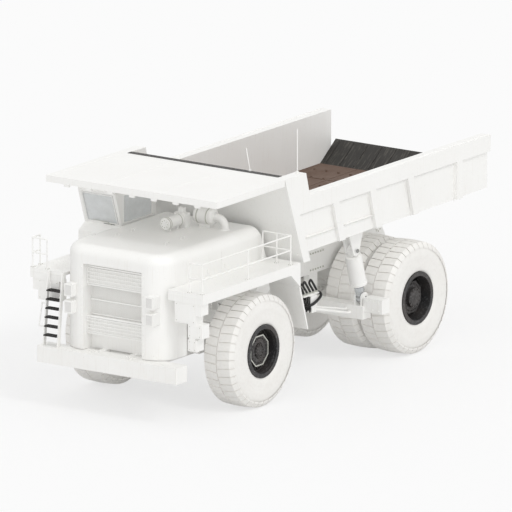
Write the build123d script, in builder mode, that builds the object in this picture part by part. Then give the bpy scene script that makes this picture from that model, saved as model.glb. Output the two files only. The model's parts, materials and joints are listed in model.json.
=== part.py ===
"""Rigid-frame mining dump truck: build123d model, one STEP file for each sub-part.

Millimetres, +Z up. The truck faces -Y and its left side is +X; the origin lies on the
ground under the middle of its length and width. A station is a distance behind the
bumper's front face. Two-number tuples are (low, high) ranges.
"""
from build123d import *
from math import atan2, cos, degrees, hypot, pi, radians, sin
import os

os.makedirs("parts", exist_ok=True)

# ---- whole machine ---------------------------------------------------------------------
LENGTH = 15670          # bumper face to the tip of the tail lip
HALF_WIDTH = 3100       # outer edge of either deck
SEAT_GAP = 0.3          # between flat faces of pieces that move on each other
MOVING_GAP = 6          # between pieces that swing past each other
SIDES = (("left", 1), ("right", -1))

# ---- wheels and axles ------------------------------------------------------------------
TYRE_RADIUS = 1700
TYRE_WIDTH = 1100
TREAD_HALF = 440        # half width of the crown arc
CROWN_DROP = 22
SHOULDER_DEPTH = 170    # radial height of the rounded shoulder
BULGE_RADIUS = 1240     # where the sidewall is widest
BEAD_HALF = 480
RIM_RADIUS = 724        # 57 inch bead seat
RIM_WALL = 54
FLANGE_RADIUS = 800
FLANGE_WIDTH = 40
FRONT_AXLE = 3730
REAR_AXLE = 11750
FRONT_TYRE_X = 2500     # middle of the front tyre
REAR_TYRE_XS = (1270, 2470)
FRONT_DISC = (60, 160)  # wheel disc, outward from the tyre's middle
FRONT_HUB_FLAT = 475    # centre to flat of the eight-sided hub
FRONT_HUB_DEPTH = 120
FRONT_CAP_RADIUS = 215
FRONT_CAP_DEPTH = 90
REAR_DISC = (2250, 2350)
REAR_DRIVE_RADIUS = 470
REAR_DRIVE_DEPTH = 420
REAR_CAP_RADIUS = 300
REAR_CAP_DEPTH = 110
STUD_RING_RADIUS = 575
STUD_COUNT = 16
STUD_RADIUS = 26
STUD_HEIGHT = 45

# ---- steering --------------------------------------------------------------------------
KINGPIN_X = 1650
STRUT_RADIUS = 205
STRUT_Z = (2330, 3420)
ROD_RADIUS = 150
KNUCKLE_HALF = 190
KNUCKLE_Z = (1400, 1980)
SPINDLE_RADIUS = 240
DRUM_RADIUS = 480
DRUM_X = (2080, 2440)
ARM_LENGTH = 720        # kingpin to tie-rod eye
ARM_Z = (1300, 1400)
ARM_EYE_RADIUS = 110
TIE_ROD_RADIUS = 60
TIE_ROD_Z = 1235

# ---- frame -----------------------------------------------------------------------------
RAIL_X = (440, 640)
RAIL_FRONT_Z = (1340, 1880)
RAIL_REAR_Z = (2550, 3300)
RAIL_START = 550
RAIL_BEND = (5900, 7500)      # where the rails climb
RAIL_END = 12640
CROSS_TUBES = ((900, 1650, 170), (4700, 1650, 170), (9000, 2680, 130), (10900, 2920, 210))
TOW_BORE_RADIUS = 50
TOW_BOSS_RADIUS = 100
FRONT_TOW = (720, 1520)       # station, Z
REAR_TOW = (13370, 2700)
PIVOT = (12950, 3300)         # body hinge: station, Z
PIVOT_EAR_WIDTH = 60
PIVOT_EAR_RADIUS = 230
PIVOT_PIN_RADIUS = 90
TOWER_X = (640, 900)
TOWER_D = (3430, 4030)
STRUT_ARM_HALF = 230
STRUT_ARMS = ((2380, 2640), (3020, 3340))
BUMPER_X = 2510
BUMPER_D = (0, 550)
BUMPER_Z = (1360, 1860)
PORTAL_D = (4760, 4940)
ENGINE_X = 600
ENGINE_D = (1500, 4250)
ENGINE_Z = (1880, 3560)
GEARBOX_X = 420
GEARBOX_D = (7550, 8450)
GEARBOX_Z = (1650, 2550)
SHAFT_RADIUS = 95

YOKE = 150
AXLE_NOSE = (11000, 1800)     # front flange of the axle's nose: station, Z
SHAFT_RUNS = (((4250, 2250), (7550, 2250)), ((8450, 2050), AXLE_NOSE))
TORQUE_EYE_RADIUS = 110
TORQUE_EYE = (9000, RAIL_REAR_Z[0] - TORQUE_EYE_RADIUS - SEAT_GAP)
BRAKE_X = (1450, 2120)
REAR_STRUT_D = 12450
REAR_STRUT_SEAT_Z = (1480, 1620)

# ---- hoists ----------------------------------------------------------------------------
HOIST_X = 2350
HOIST_FOOT = (9700, 2050)     # lower pin: station, Z
HOIST_HEAD = (9240, 3580)     # upper pin: station, Z
HOIST_TUBES = (("rod", 0, 150), ("inner_stage", 158, 178), ("outer_stage", 186, 208), ("barrel", 216, 252))
HOIST_NECK = 235              # foot pin to the full width of the rod
HOIST_COLLAR = 460            # foot pin to the lower end of the barrel
HOIST_TUBE_TOP = 215          # head pin to the closed end of the tubes
HOIST_STEP = 35               # each stage starts this much below the next
EYE_RADIUS = 170
EYE_HALF = 90
EAR_WIDTH = 50
HEAD_PLAY = 10                # head eye to its bracket's ears, on either side
OUTRIGGER_D = (9490, 9900)
OUTRIGGER_Z = (1430, 1840)
OUTRIGGER_X = (440, 2560)
OUTRIGGER_END = ((2530, 3200), (9560, 9960), (1660, 2090))    # X, station and Z ranges

# ---- radiator housing, hood and decks --------------------------------------------------
HOUSING_HALF = 1860
HOUSING_D = (300, 1450)
HOUSING_Z = (1880, 5020)
HOUSING_CORNER = 700
HOUSING_TOP_ROUND = 330
GRILLE_HALF = 1050
GRILLE_Z = (1880, 4470)
GRILLE_DEPTH = 480
GRILLE_SCREEN_DEPTH = 226
GRILLE_SCREEN_ZS = ((2360, 2860), (3820, 4370))
GRILLE_CORE = 60         # thickness of the radiator core behind the screens
GRILLE_SLAT = (45, 14)    # depth and half height of a slat on a screen
GRILLE_SLATS = 5
LAMP_X = 1450
LAMP_ZS = (3140, 3650)
LAMP_SIZE = (300, 390)
LAMP_FACE = 110
HOOD_REAR = 5140          # top of the rear wall, which leans back with the headboard
HOOD_WALL = 60
CAB_GAP_X = -1500             # inner edge of the cab's bay
CAB_BAY = 2600                # station where the cab's bay starts
DECK_TOP = 4040
DECK_PLATE = 90
DECK_SKIRT_Z = 3740
DECK_D = (500, 5500)
SKIRT = 60
FENDER_SLOPE = ((5010, 3740), (5500, 3300))
MUDGUARD_FOOT = (5920, 1930)
MUDGUARD_X = (1950, HALF_WIDTH - 50)
DECK_BOX_D = (520, 900)
DECK_BOXES = (((2080, 2830), (3110, DECK_SKIRT_Z)), ((2829, 3020), (3390, DECK_SKIRT_Z)))    # X and Z ranges
LEFT_BOXES = (((2550, 3050), (2700, 3111)), ((2600, 2800), (2639, 2701)), ((2550, 2860), (2290, 2640)))
RAIL_HEIGHT = 900
HANDRAIL_RADIUS = 22
HANDRAIL_INSET = 50
LADDER_SIDE = -1              # the ladder stands on the right only
LADDER_X = (1850, 2400)
LADDER_GRAB = 240             # hand tube outboard of the ladder
LADDER_GRAB_ZS = (2380, 3050)
LADDER_FOOT = 190
LADDER_TREAD_Z = 2180
LADDER_PITCH = 265
LADDER_TREADS = 6
LADDER_STRINGER = (40, 130)
LADDER_TREAD = (230, 36)      # depth, thickness
RAIL_EDGE = HALF_WIDTH - HANDRAIL_INSET
LEFT_RAIL = (2600, RAIL_EDGE, 550, 2870, 5060, 2050)     # inner post, edge, front, middle, rear, end post
RIGHT_RAIL = (2530, RAIL_EDGE, 550, 930)

# ---- deck and engine equipment ---------------------------------------------------------
AIR_CANISTER = (-40, 3050, 5260)      # middle of its front end
AIR_CANISTER_SIZE = (185, 710)        # radius, length
INTAKE_BOX = ((-260, 170), (3760, 4020), (5020, 5450))
INTAKE_CAP = ((-120, 60), (3820, 3960), (5450, 5600))
MUFFLER = (190, 880, 4290, 5350)     # X range, station, Z
MUFFLER_RADIUS = 240
MUFFLER_ROUND = 90
STACK_X = 1240                # where the pipe goes down through the hood
STACK_RADIUS = 115
STACK_BEND = 270
FUEL_TANK = (-2000, 6900, 8600, 2050)     # X, station range, Z
FUEL_TANK_RADIUS = 560
VALVE_ARM_Z = (2150, 2330)
VALVE_X = 2400
HOSE_RADIUS = 38
HOSE_BEND = 150
VALVE_ARM_D = (6900, 7120)
PIPE_RUNS = ((1960, 2250, 1690), (2090, 2210, 1600))   # X, Z at the front, Z at the rear
PIPE_RADIUS = 45

# ---- cab -------------------------------------------------------------------------------
CAB_X = (-2900, -1560)
CAB_REAR = 4700
CAB_WALL = 60
CAB_FRONT = 2660
SILL = (2990, 4970)           # foot of the windscreen: station, Z
BROW = (2630, 6040)           # head of the windscreen
CAB_LEDGE_Z = 4760
CAB_ROOF_Z = 6230
GLASS = 12
DOOR_D = (3120, 3990)
DOOR_Z = (4130, 5990)
DOOR_WINDOW_Z = (4950, 5880)
DOOR_FRAME = 90
DOOR_PULL_Z = (4600, 4860)
HINGE_RADIUS = 24
HINGE_OFFSET = 30             # hinge axis outside the cab's wall
HINGE_LENGTH = 90
HINGE_ZS = (4420, 5600)

# ---- dump body -------------------------------------------------------------------------
BODY_OUTER = 3070
BODY_INNER = 2710
WALL = 90
FLOOR = 90
FLOOR_FRONT = (5580, 4340)    # foot of the headboard, inner floor: station, Z
TAIL_START = (LENGTH - 820, 4440)
TAIL_TIP_Z = 5040
WALL_END = LENGTH - 240
SIDE_TOP = 5980
SIDE_RAIL_Z = (5490, 5980)
HEADBOARD_TOP = (4840, 6400)
BOARD_LEAN = (FLOOR_FRONT[0] - HEADBOARD_TOP[0]) / (HEADBOARD_TOP[1] - FLOOR_FRONT[1])    # run per rise
CANOPY_TOP = 6680
CANOPY_DEPTH = 200
CANOPY_FRONT = 1260
CANOPY_REAR = 5100
CANOPY_PLATE = 60
CANOPY_RIB_PITCH = 720
CANOPY_RIB = 60
SHOULDER = (5830, 6020)       # stations between which the side drops to its rail
RIB_WIDTH = 300
SIDE_WALL = 240          # boxed side plate, from its liner to its outer skin
RIBS = ((7240, 0.28), (9150, 0.27), (11110, 0.26), (13680, 0.0))   # station at the top, lean
RAIL_HAUNCH = 210             # height of the sloped underside of the side rail
STIFFENER_Z = (4550, 4720)
STIFFENER_DS = ((5900, 7400), (7940, 9400))
STRIP_LAP = 10
POST_WIDTH = 350              # slanted post in front of either side
APRON_Z = 3990
BEAM_Z = 3550           # underside of the body's two long beams
BEAM_D = (6000, 13720)
BOLSTER_DEPTH = 330
BOLSTER_HALF = 1500
PAD_LENGTH = 900
PAD_DS = (7700, 10000, 11500)
BRACKET_SPREAD = 420
AERIALS = ((1600, 5045, 690, -130), (2870, 5660, 1340, 0))    # x, station, height, lean
AERIAL_RADIUS = 14


# ---- helpers ---------------------------------------------------------------------------
def y_at(station):
    """World Y of a station."""
    return station - LENGTH / 2


def sided(side, low, high):
    """X range of a piece given for the left side, mirrored for side = -1."""
    return tuple(sorted((side * low, side * high)))


def block(x, d, z, mode=Mode.ADD):
    """Box from its X, station and Z ranges."""
    with Locations((sum(x) / 2, y_at(sum(d) / 2), sum(z) / 2)):
        Box(x[1] - x[0], d[1] - d[0], z[1] - z[0], mode=mode)


def side_plate(points, x, mode=Mode.ADD):
    """Plate with a side-view outline of (station, Z) points, spanning an X range."""
    with BuildSketch(Plane.YZ.offset(x[0])) as outline:
        Polygon(*[(y_at(d), z) for d, z in points], align=None)
    extrude(outline.sketch, amount=x[1] - x[0], mode=mode)


def bar(start, end, radius, mode=Mode.ADD):
    """Round bar between two (x, station, z) points."""
    a = Vector(start[0], y_at(start[1]), start[2])
    b = Vector(end[0], y_at(end[1]), end[2])
    with Locations(Plane(origin=(a + b) / 2, z_dir=b - a)):
        Cylinder(radius, (b - a).length, mode=mode)


def disc(x, station, z, radius, mode=Mode.ADD):
    """Round piece on an axis along X, spanning an X range."""
    bar((x[0], station, z), (x[1], station, z), radius, mode)


def wheel_plane(side, x, station):
    """Sketch plane through a wheel's axis: local x points outboard, local y upwards."""
    return Plane(origin=(side * x, y_at(station), TYRE_RADIUS), x_dir=(side, 0, 0), z_dir=(0, -side, 0))


def wheel_axis(station):
    return Axis((0, y_at(station), TYRE_RADIUS), (1, 0, 0))


def save(part, label):
    part.label = label
    export_step(part, f"parts/{label}.step")


# ---- tyres and rims --------------------------------------------------------------------
def add_tyre(side, x, station):
    """Tyre section: crown arc, rounded shoulders, bulging walls and flat beads."""
    half = TYRE_WIDTH / 2
    shoulder = TYRE_RADIUS - CROWN_DROP - SHOULDER_DEPTH
    bore = RIM_RADIUS + SEAT_GAP
    with BuildSketch(wheel_plane(side, x, station)) as section:
        with BuildLine():
            ThreePointArc((-TREAD_HALF, TYRE_RADIUS - CROWN_DROP), (0, TYRE_RADIUS),
                          (TREAD_HALF, TYRE_RADIUS - CROWN_DROP))
            for out in (1, -1):
                crown = (out * TREAD_HALF, TYRE_RADIUS - CROWN_DROP)
                corner = (out * (half - 12), shoulder)
                Line(crown, corner)
                ThreePointArc(corner, (out * half, BULGE_RADIUS), (out * BEAD_HALF, FLANGE_RADIUS))
                Line((out * BEAD_HALF, FLANGE_RADIUS), (out * BEAD_HALF, bore))
            Line((BEAD_HALF, bore), (-BEAD_HALF, bore))
        make_face()
    revolve(section.sketch, axis=wheel_axis(station))


def add_rim(side, x, station, inboard, outboard):
    """Rim tube with its two flanges; inboard and outboard are its ends from the tyre's middle."""
    inner = RIM_RADIUS - RIM_WALL
    grip = BEAD_HALF + SEAT_GAP
    with BuildSketch(wheel_plane(side, x, station)) as section:
        with Locations(((inboard + outboard) / 2, (inner + RIM_RADIUS) / 2)):
            Rectangle(outboard - inboard, RIM_WALL)
        for out in (1, -1):
            with Locations((out * (grip + FLANGE_WIDTH / 2), (inner + FLANGE_RADIUS) / 2)):
                Rectangle(FLANGE_WIDTH, FLANGE_RADIUS - inner)
    revolve(section.sketch, axis=wheel_axis(station))


def add_hub(side, station, face, flat_radius, depth, cap_radius, cap_depth):
    """Eight-sided hub standing on a wheel disc's face, its round cap and a ring of studs."""
    plane = Plane(origin=(side * face, y_at(station), TYRE_RADIUS), x_dir=(0, -side, 0), z_dir=(side, 0, 0))
    with BuildSketch(plane) as hub:
        RegularPolygon(flat_radius, 8, major_radius=False, rotation=22.5)
    extrude(hub.sketch, amount=depth)
    with BuildSketch(plane.offset(depth)) as cap:
        Circle(cap_radius)
    extrude(cap.sketch, amount=cap_depth)
    with BuildSketch(plane) as studs:
        with PolarLocations(STUD_RING_RADIUS, STUD_COUNT):
            RegularPolygon(STUD_RADIUS, 6)
    extrude(studs.sketch, amount=STUD_HEIGHT)


for side_name, side in SIDES:
    with BuildPart() as tyre_front:
        add_tyre(side, FRONT_TYRE_X, FRONT_AXLE)
    save(tyre_front.part, f"tyre_front_{side_name}")

    with BuildPart() as rim_front:
        rim_end = BEAD_HALF + SEAT_GAP + FLANGE_WIDTH
        add_rim(side, FRONT_TYRE_X, FRONT_AXLE, -rim_end, rim_end)
        disc(sided(side, FRONT_TYRE_X + FRONT_DISC[0], FRONT_TYRE_X + FRONT_DISC[1]),
             FRONT_AXLE, TYRE_RADIUS, RIM_RADIUS - RIM_WALL / 2)
        add_hub(side, FRONT_AXLE, FRONT_TYRE_X + FRONT_DISC[1], FRONT_HUB_FLAT, FRONT_HUB_DEPTH,
                FRONT_CAP_RADIUS, FRONT_CAP_DEPTH)
    save(rim_front.part, f"rim_front_{side_name}")

    with BuildPart() as tyres_rear:
        for tyre_x in REAR_TYRE_XS:
            add_tyre(side, tyre_x, REAR_AXLE)
    save(tyres_rear.part, f"tyres_rear_{side_name}")

    with BuildPart() as rims_rear:
        twin_gap = (REAR_TYRE_XS[1] - REAR_TYRE_XS[0]) / 2
        add_rim(side, REAR_TYRE_XS[0], REAR_AXLE, -rim_end, twin_gap)
        add_rim(side, REAR_TYRE_XS[1], REAR_AXLE, -twin_gap, rim_end)
        disc(sided(side, *REAR_DISC), REAR_AXLE, TYRE_RADIUS, RIM_RADIUS - RIM_WALL / 2)
        add_hub(side, REAR_AXLE, REAR_DISC[1], REAR_DRIVE_RADIUS, REAR_DRIVE_DEPTH,
                REAR_CAP_RADIUS, REAR_CAP_DEPTH)
    save(rims_rear.part, f"rims_rear_{side_name}")

    # ---- steering knuckle: kingpin rod, spindle with its brake drum, and steering arm ----
    with BuildPart() as knuckle:
        bar((side * KINGPIN_X, FRONT_AXLE, KNUCKLE_Z[1]),
            (side * KINGPIN_X, FRONT_AXLE, STRUT_Z[0] - SEAT_GAP), ROD_RADIUS)
        block(sided(side, KINGPIN_X - KNUCKLE_HALF, KINGPIN_X + KNUCKLE_HALF),
              (FRONT_AXLE - KNUCKLE_HALF, FRONT_AXLE + KNUCKLE_HALF), KNUCKLE_Z)
        fillet(knuckle.edges().filter_by(Axis.Z).filter_by(GeomType.LINE), 60)
        disc(sided(side, KINGPIN_X, FRONT_TYRE_X + FRONT_DISC[0] - SEAT_GAP),
             FRONT_AXLE, TYRE_RADIUS, SPINDLE_RADIUS)
        disc(sided(side, *DRUM_X), FRONT_AXLE, TYRE_RADIUS, DRUM_RADIUS)
        with BuildSketch(Plane.XY.offset(ARM_Z[0])):
            with BuildLine():
                eye = (side * KINGPIN_X, y_at(FRONT_AXLE + ARM_LENGTH))
                root = (side * KINGPIN_X, y_at(FRONT_AXLE))
            with Locations(eye):
                Circle(ARM_EYE_RADIUS)
            with Locations(((eye[0] + root[0]) / 2, (eye[1] + root[1]) / 2)):
                Rectangle(2 * ARM_EYE_RADIUS, ARM_LENGTH)
            with Locations(root):
                Rectangle(2 * KNUCKLE_HALF - 20, 2 * KNUCKLE_HALF - 20)
        extrude(amount=ARM_Z[1] - ARM_Z[0])
    save(knuckle.part, f"knuckle_{side_name}")

with BuildPart() as tie_rod:
    eye_station = FRONT_AXLE + ARM_LENGTH
    disc((-KINGPIN_X, KINGPIN_X), eye_station, TIE_ROD_Z, TIE_ROD_RADIUS)
    for side_name, side in SIDES:
        bar((side * KINGPIN_X, eye_station, TIE_ROD_Z - TIE_ROD_RADIUS - 20),
            (side * KINGPIN_X, eye_station, ARM_Z[0] - SEAT_GAP), ARM_EYE_RADIUS - 10)
save(tie_rod.part, "tie_rod")

# ---- frame -----------------------------------------------------------------------------
with BuildPart() as frame_rails:
    rail_outline = [
        (RAIL_START, RAIL_FRONT_Z[0]), (RAIL_BEND[0], RAIL_FRONT_Z[0]), (RAIL_BEND[1], RAIL_REAR_Z[0]),
        (RAIL_END, RAIL_REAR_Z[0]), (RAIL_END, RAIL_REAR_Z[1]), (RAIL_BEND[1], RAIL_REAR_Z[1]),
        (RAIL_BEND[0], RAIL_FRONT_Z[1]), (RAIL_START, RAIL_FRONT_Z[1])]
    tail_outline = [
        (RAIL_END - 500, RAIL_REAR_Z[0]), (REAR_TOW[0] + 60, RAIL_REAR_Z[0]),
        (REAR_TOW[0] + 130, REAR_TOW[1] + 60), (PIVOT[0] + PIVOT_EAR_RADIUS, PIVOT[1]),
        (RAIL_END - 500, RAIL_REAR_Z[1])]
    for side_name, side in SIDES:
        side_plate(rail_outline, sided(side, *RAIL_X))
        for ear in ((RAIL_X[0] - PIVOT_EAR_WIDTH, RAIL_X[0]), (RAIL_X[1], RAIL_X[1] + PIVOT_EAR_WIDTH)):
            side_plate(tail_outline, sided(side, *ear))
            disc(sided(side, *ear), *PIVOT, PIVOT_EAR_RADIUS)
        disc(sided(side, RAIL_X[0] - PIVOT_EAR_WIDTH, RAIL_X[1] + PIVOT_EAR_WIDTH), *REAR_TOW, TOW_BOSS_RADIUS)
    for station, z, radius in CROSS_TUBES:
        disc((-RAIL_X[0], RAIL_X[0]), station, z, radius)
    for side_name, side in SIDES:
        disc(sided(side, RAIL_X[0] - 200, RAIL_X[1] + 200), *FRONT_TOW, TOW_BORE_RADIUS, Mode.SUBTRACT)
        disc(sided(side, RAIL_X[0] - 200, RAIL_X[1] + 200), *REAR_TOW, TOW_BORE_RADIUS, Mode.SUBTRACT)
save(frame_rails.part, "frame_rails")

# towers on the rails that clamp the front struts and carry the middle of the decks
with BuildPart() as strut_towers:
    for side_name, side in SIDES:
        block(sided(side, *TOWER_X), TOWER_D, (RAIL_FRONT_Z[0] + 40, DECK_TOP - DECK_PLATE - SEAT_GAP))
        for arm in STRUT_ARMS:
            block(sided(side, TOWER_X[1], KINGPIN_X),
                  (FRONT_AXLE - STRUT_ARM_HALF, FRONT_AXLE + STRUT_ARM_HALF), arm)
            bar((side * KINGPIN_X, FRONT_AXLE, arm[0]), (side * KINGPIN_X, FRONT_AXLE, arm[1]),
                STRUT_ARM_HALF)
        bar((side * KINGPIN_X, FRONT_AXLE, STRUT_Z[0]), (side * KINGPIN_X, FRONT_AXLE, STRUT_Z[1]),
            STRUT_RADIUS)
        block(sided(side, TOWER_X[1], HALF_WIDTH - 2 * SKIRT), (FRONT_AXLE - 60, FRONT_AXLE + 60),
              (DECK_SKIRT_Z + 40, DECK_TOP - DECK_PLATE - SEAT_GAP))
save(strut_towers.part, "strut_towers")

# portal behind the engine that carries the rear of the decks
with BuildPart() as deck_portal:
    beam_z = (DECK_SKIRT_Z, DECK_TOP - DECK_PLATE - SEAT_GAP)
    block((-HALF_WIDTH + 2 * SKIRT, HALF_WIDTH - 2 * SKIRT), PORTAL_D, beam_z)
    for side_name, side in SIDES:
        block(sided(side, *RAIL_X), PORTAL_D, (RAIL_FRONT_Z[1] + SEAT_GAP, beam_z[0]))
save(deck_portal.part, "deck_portal")

# beams that reach out from under the rails to the feet of the hoists
with BuildPart() as hoist_outriggers:
    for side_name, side in SIDES:
        block(sided(side, *OUTRIGGER_X), OUTRIGGER_D, OUTRIGGER_Z)
        end_x, end_d, end_z = OUTRIGGER_END
        block(sided(side, *end_x), end_d, end_z)
        block(sided(side, *RAIL_X), OUTRIGGER_D, (OUTRIGGER_Z[1], RAIL_REAR_Z[0] - SEAT_GAP))
        for low, high in ((-EYE_HALF - EAR_WIDTH, -EYE_HALF), (EYE_HALF, EYE_HALF + EAR_WIDTH)):
            ear = sided(side, HOIST_X + low, HOIST_X + high)
            block(ear, (HOIST_FOOT[0] - EYE_RADIUS, HOIST_FOOT[0] + EYE_RADIUS),
                  (OUTRIGGER_Z[1], HOIST_FOOT[1]))
            disc(ear, *HOIST_FOOT, EYE_RADIUS)
        for low, high in ((-EYE_HALF - EAR_WIDTH - 35, -EYE_HALF), (EYE_HALF, EYE_HALF + EAR_WIDTH + 35)):
            disc(sided(side, HOIST_X + low, HOIST_X + high), *HOIST_FOOT, 70)
save(hoist_outriggers.part, "hoist_outriggers")

with BuildPart() as bumper:
    block((-BUMPER_X, BUMPER_X), BUMPER_D, BUMPER_Z)
    fillet(bumper.edges().filter_by(Axis.Z), 25)
save(bumper.part, "front_bumper")

with BuildPart() as engine:
    block((-ENGINE_X, ENGINE_X), ENGINE_D, ENGINE_Z)
save(engine.part, "engine_block")

with BuildPart() as gearbox:
    block((-GEARBOX_X, GEARBOX_X), GEARBOX_D, GEARBOX_Z)
    disc((-RAIL_X[0], RAIL_X[0]), sum(GEARBOX_D) / 2, RAIL_REAR_Z[0] + 80, 130)
save(gearbox.part, "gearbox")

# ---- rear axle, its torque arms and the drive shafts -----------------------------------
with BuildPart() as rear_axle:
    tube_end = REAR_DISC[0] - SEAT_GAP
    with BuildSketch(wheel_plane(1, 0, REAR_AXLE)) as casing:
        Polygon((0, 0), (tube_end, 0), (tube_end, 300), (700, 330), (480, 560), (-480, 560), (-700, 330),
                (-tube_end, 300), (-tube_end, 0), align=None)
    revolve(casing.sketch, axis=wheel_axis(REAR_AXLE))
    bar((0, REAR_AXLE, AXLE_NOSE[1]), (0, AXLE_NOSE[0], AXLE_NOSE[1]), 240)
    disc((-320, 320), *TORQUE_EYE, TORQUE_EYE_RADIUS)
    for side_name, side in SIDES:
        disc(sided(side, *BRAKE_X), REAR_AXLE, TYRE_RADIUS, DRUM_RADIUS)
        bar((side * 250, *TORQUE_EYE), (side * 350, REAR_AXLE - 300, TYRE_RADIUS + 80), 75)
        block(sided(side, *RAIL_X), (REAR_AXLE, REAR_STRUT_D + 160), REAR_STRUT_SEAT_Z)
save(rear_axle.part, "rear_axle")

with BuildPart() as rear_struts:
    for side_name, side in SIDES:
        strut_x = side * sum(RAIL_X) / 2
        split_z = (REAR_STRUT_SEAT_Z[1] + RAIL_REAR_Z[0]) / 2
        bar((strut_x, REAR_STRUT_D, REAR_STRUT_SEAT_Z[1] + SEAT_GAP), (strut_x, REAR_STRUT_D, split_z), 95)
        bar((strut_x, REAR_STRUT_D, split_z - 120), (strut_x, REAR_STRUT_D, RAIL_REAR_Z[0] - SEAT_GAP), 125)
save(rear_struts.part, "rear_struts")

with BuildPart() as drive_shafts:
    for front, rear in SHAFT_RUNS:
        bar((0, front[0] + SEAT_GAP, front[1]), (0, front[0] + YOKE, front[1]), SHAFT_RADIUS + 40)
        bar((0, front[0] + YOKE / 2, front[1]), (0, rear[0] - YOKE / 2, rear[1]), SHAFT_RADIUS)
        bar((0, rear[0] - YOKE, rear[1]), (0, rear[0] - SEAT_GAP, rear[1]), SHAFT_RADIUS + 40)
save(drive_shafts.part, "drive_shafts")

# ---- radiator housing and grille -------------------------------------------------------
with BuildPart() as radiator_housing:
    with BuildSketch(Plane.XY.offset(HOUSING_Z[0])) as plan:
        with Locations((0, y_at(sum(HOUSING_D) / 2))):
            Rectangle(2 * HOUSING_HALF, HOUSING_D[1] - HOUSING_D[0])
        fillet(plan.vertices().group_by(Axis.Y)[0], HOUSING_CORNER)
    extrude(amount=HOUSING_Z[1] - HOUSING_Z[0])
    fillet(radiator_housing.edges().group_by(Axis.Z)[-1].sort_by(Axis.Y)[:-1], HOUSING_TOP_ROUND)
    block((-GRILLE_HALF, GRILLE_HALF), (HOUSING_D[0] - 10, HOUSING_D[0] + GRILLE_DEPTH), GRILLE_Z,
          Mode.SUBTRACT)
save(radiator_housing.part, "radiator_housing")

with BuildPart() as grille:
    back = HOUSING_D[0] + GRILLE_DEPTH
    screen_face = HOUSING_D[0] + GRILLE_SCREEN_DEPTH
    block((-GRILLE_HALF, GRILLE_HALF), (back - GRILLE_CORE, back), GRILLE_Z)
    for screen_z in GRILLE_SCREEN_ZS:
        block((-GRILLE_HALF, GRILLE_HALF), (screen_face, back), screen_z)
        pitch = (screen_z[1] - screen_z[0]) / GRILLE_SLATS
        for index in range(GRILLE_SLATS):
            z = screen_z[0] + (index + 0.5) * pitch
            block((-GRILLE_HALF, GRILLE_HALF), (screen_face - GRILLE_SLAT[0], screen_face),
                  (z - GRILLE_SLAT[1], z + GRILLE_SLAT[1]))
save(grille.part, "grille")

with BuildPart() as headlamps:
    for side_name, side in SIDES:
        for lamp_z in LAMP_ZS:
            half_width, half_height = LAMP_SIZE[0] / 2, LAMP_SIZE[1] / 2
            block(sided(side, LAMP_X - half_width, LAMP_X + half_width), (LAMP_FACE, HOUSING_D[0] + 200),
                  (lamp_z - half_height, lamp_z + half_height))
        bar((side * (HOUSING_HALF - HOUSING_CORNER), HOUSING_D[0] + HOUSING_CORNER, LAMP_ZS[0] - 300),
            (side * (HOUSING_HALF - HOUSING_CORNER), HOUSING_D[0] + HOUSING_CORNER, LAMP_ZS[1] + 300),
            HOUSING_CORNER + SEAT_GAP, Mode.SUBTRACT)
    fillet(headlamps.edges().filter_by(Axis.Y), 25)
save(headlamps.part, "headlamps")


# ---- hood ------------------------------------------------------------------------------
def hood_form(inset, floor_z):
    """Solid of the hood's outline, drawn in by inset on its sides, rear and top."""
    hood_top = HOUSING_Z[1] - inset
    hood_foot = HOOD_REAR - inset + (HOUSING_Z[1] - floor_z) * BOARD_LEAN
    outline = [
        (inset - HOUSING_HALF, HOUSING_D[1]), (HOUSING_HALF - inset, HOUSING_D[1]),
        (HOUSING_HALF - inset, hood_foot), (CAB_GAP_X + inset, hood_foot),
        (CAB_GAP_X + inset, CAB_BAY - inset), (inset - HOUSING_HALF, CAB_BAY - inset)]
    with BuildPart() as form:
        with BuildSketch(Plane.XY.offset(floor_z)):
            Polygon(*[(x, y_at(d)) for x, d in outline], align=None)
        extrude(amount=hood_top - floor_z)
        top = form.edges().group_by(Axis.Z)[-1].filter_by(Axis.Y)
        fillet([top.sort_by(Axis.X)[0], top.sort_by(Axis.X)[-1]], HOUSING_TOP_ROUND - inset)
        rear_top = (hood_foot - (hood_top - floor_z) * BOARD_LEAN, hood_top)
        side_plate([(hood_foot, floor_z), (hood_foot, hood_top), rear_top], (-HOUSING_HALF, HOUSING_HALF),
                   Mode.SUBTRACT)
    return form.part


hood_core = hood_form(HOOD_WALL, DECK_TOP)
with BuildPart() as hood:
    add(hood_form(0, DECK_TOP))
    add(hood_core, mode=Mode.SUBTRACT)
save(hood.part, "hood")


# ---- decks -----------------------------------------------------------------------------
def deck_plan(side):
    """Plan outline of a deck as (x, station) points; the right deck runs under the cab."""
    under_hood = HOUSING_HALF - HOOD_WALL - 20
    points = [(side * HOUSING_HALF, DECK_D[0]), (side * HALF_WIDTH, DECK_D[0]), (side * HALF_WIDTH, DECK_D[1])]
    if side > 0:
        points.append((under_hood, DECK_D[1]))
    else:
        points += [(CAB_GAP_X + HOOD_WALL, DECK_D[1]), (CAB_GAP_X + HOOD_WALL, CAB_BAY), (-under_hood, CAB_BAY)]
    return points + [(side * under_hood, HOUSING_D[1]), (side * HOUSING_HALF, HOUSING_D[1])]


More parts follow.
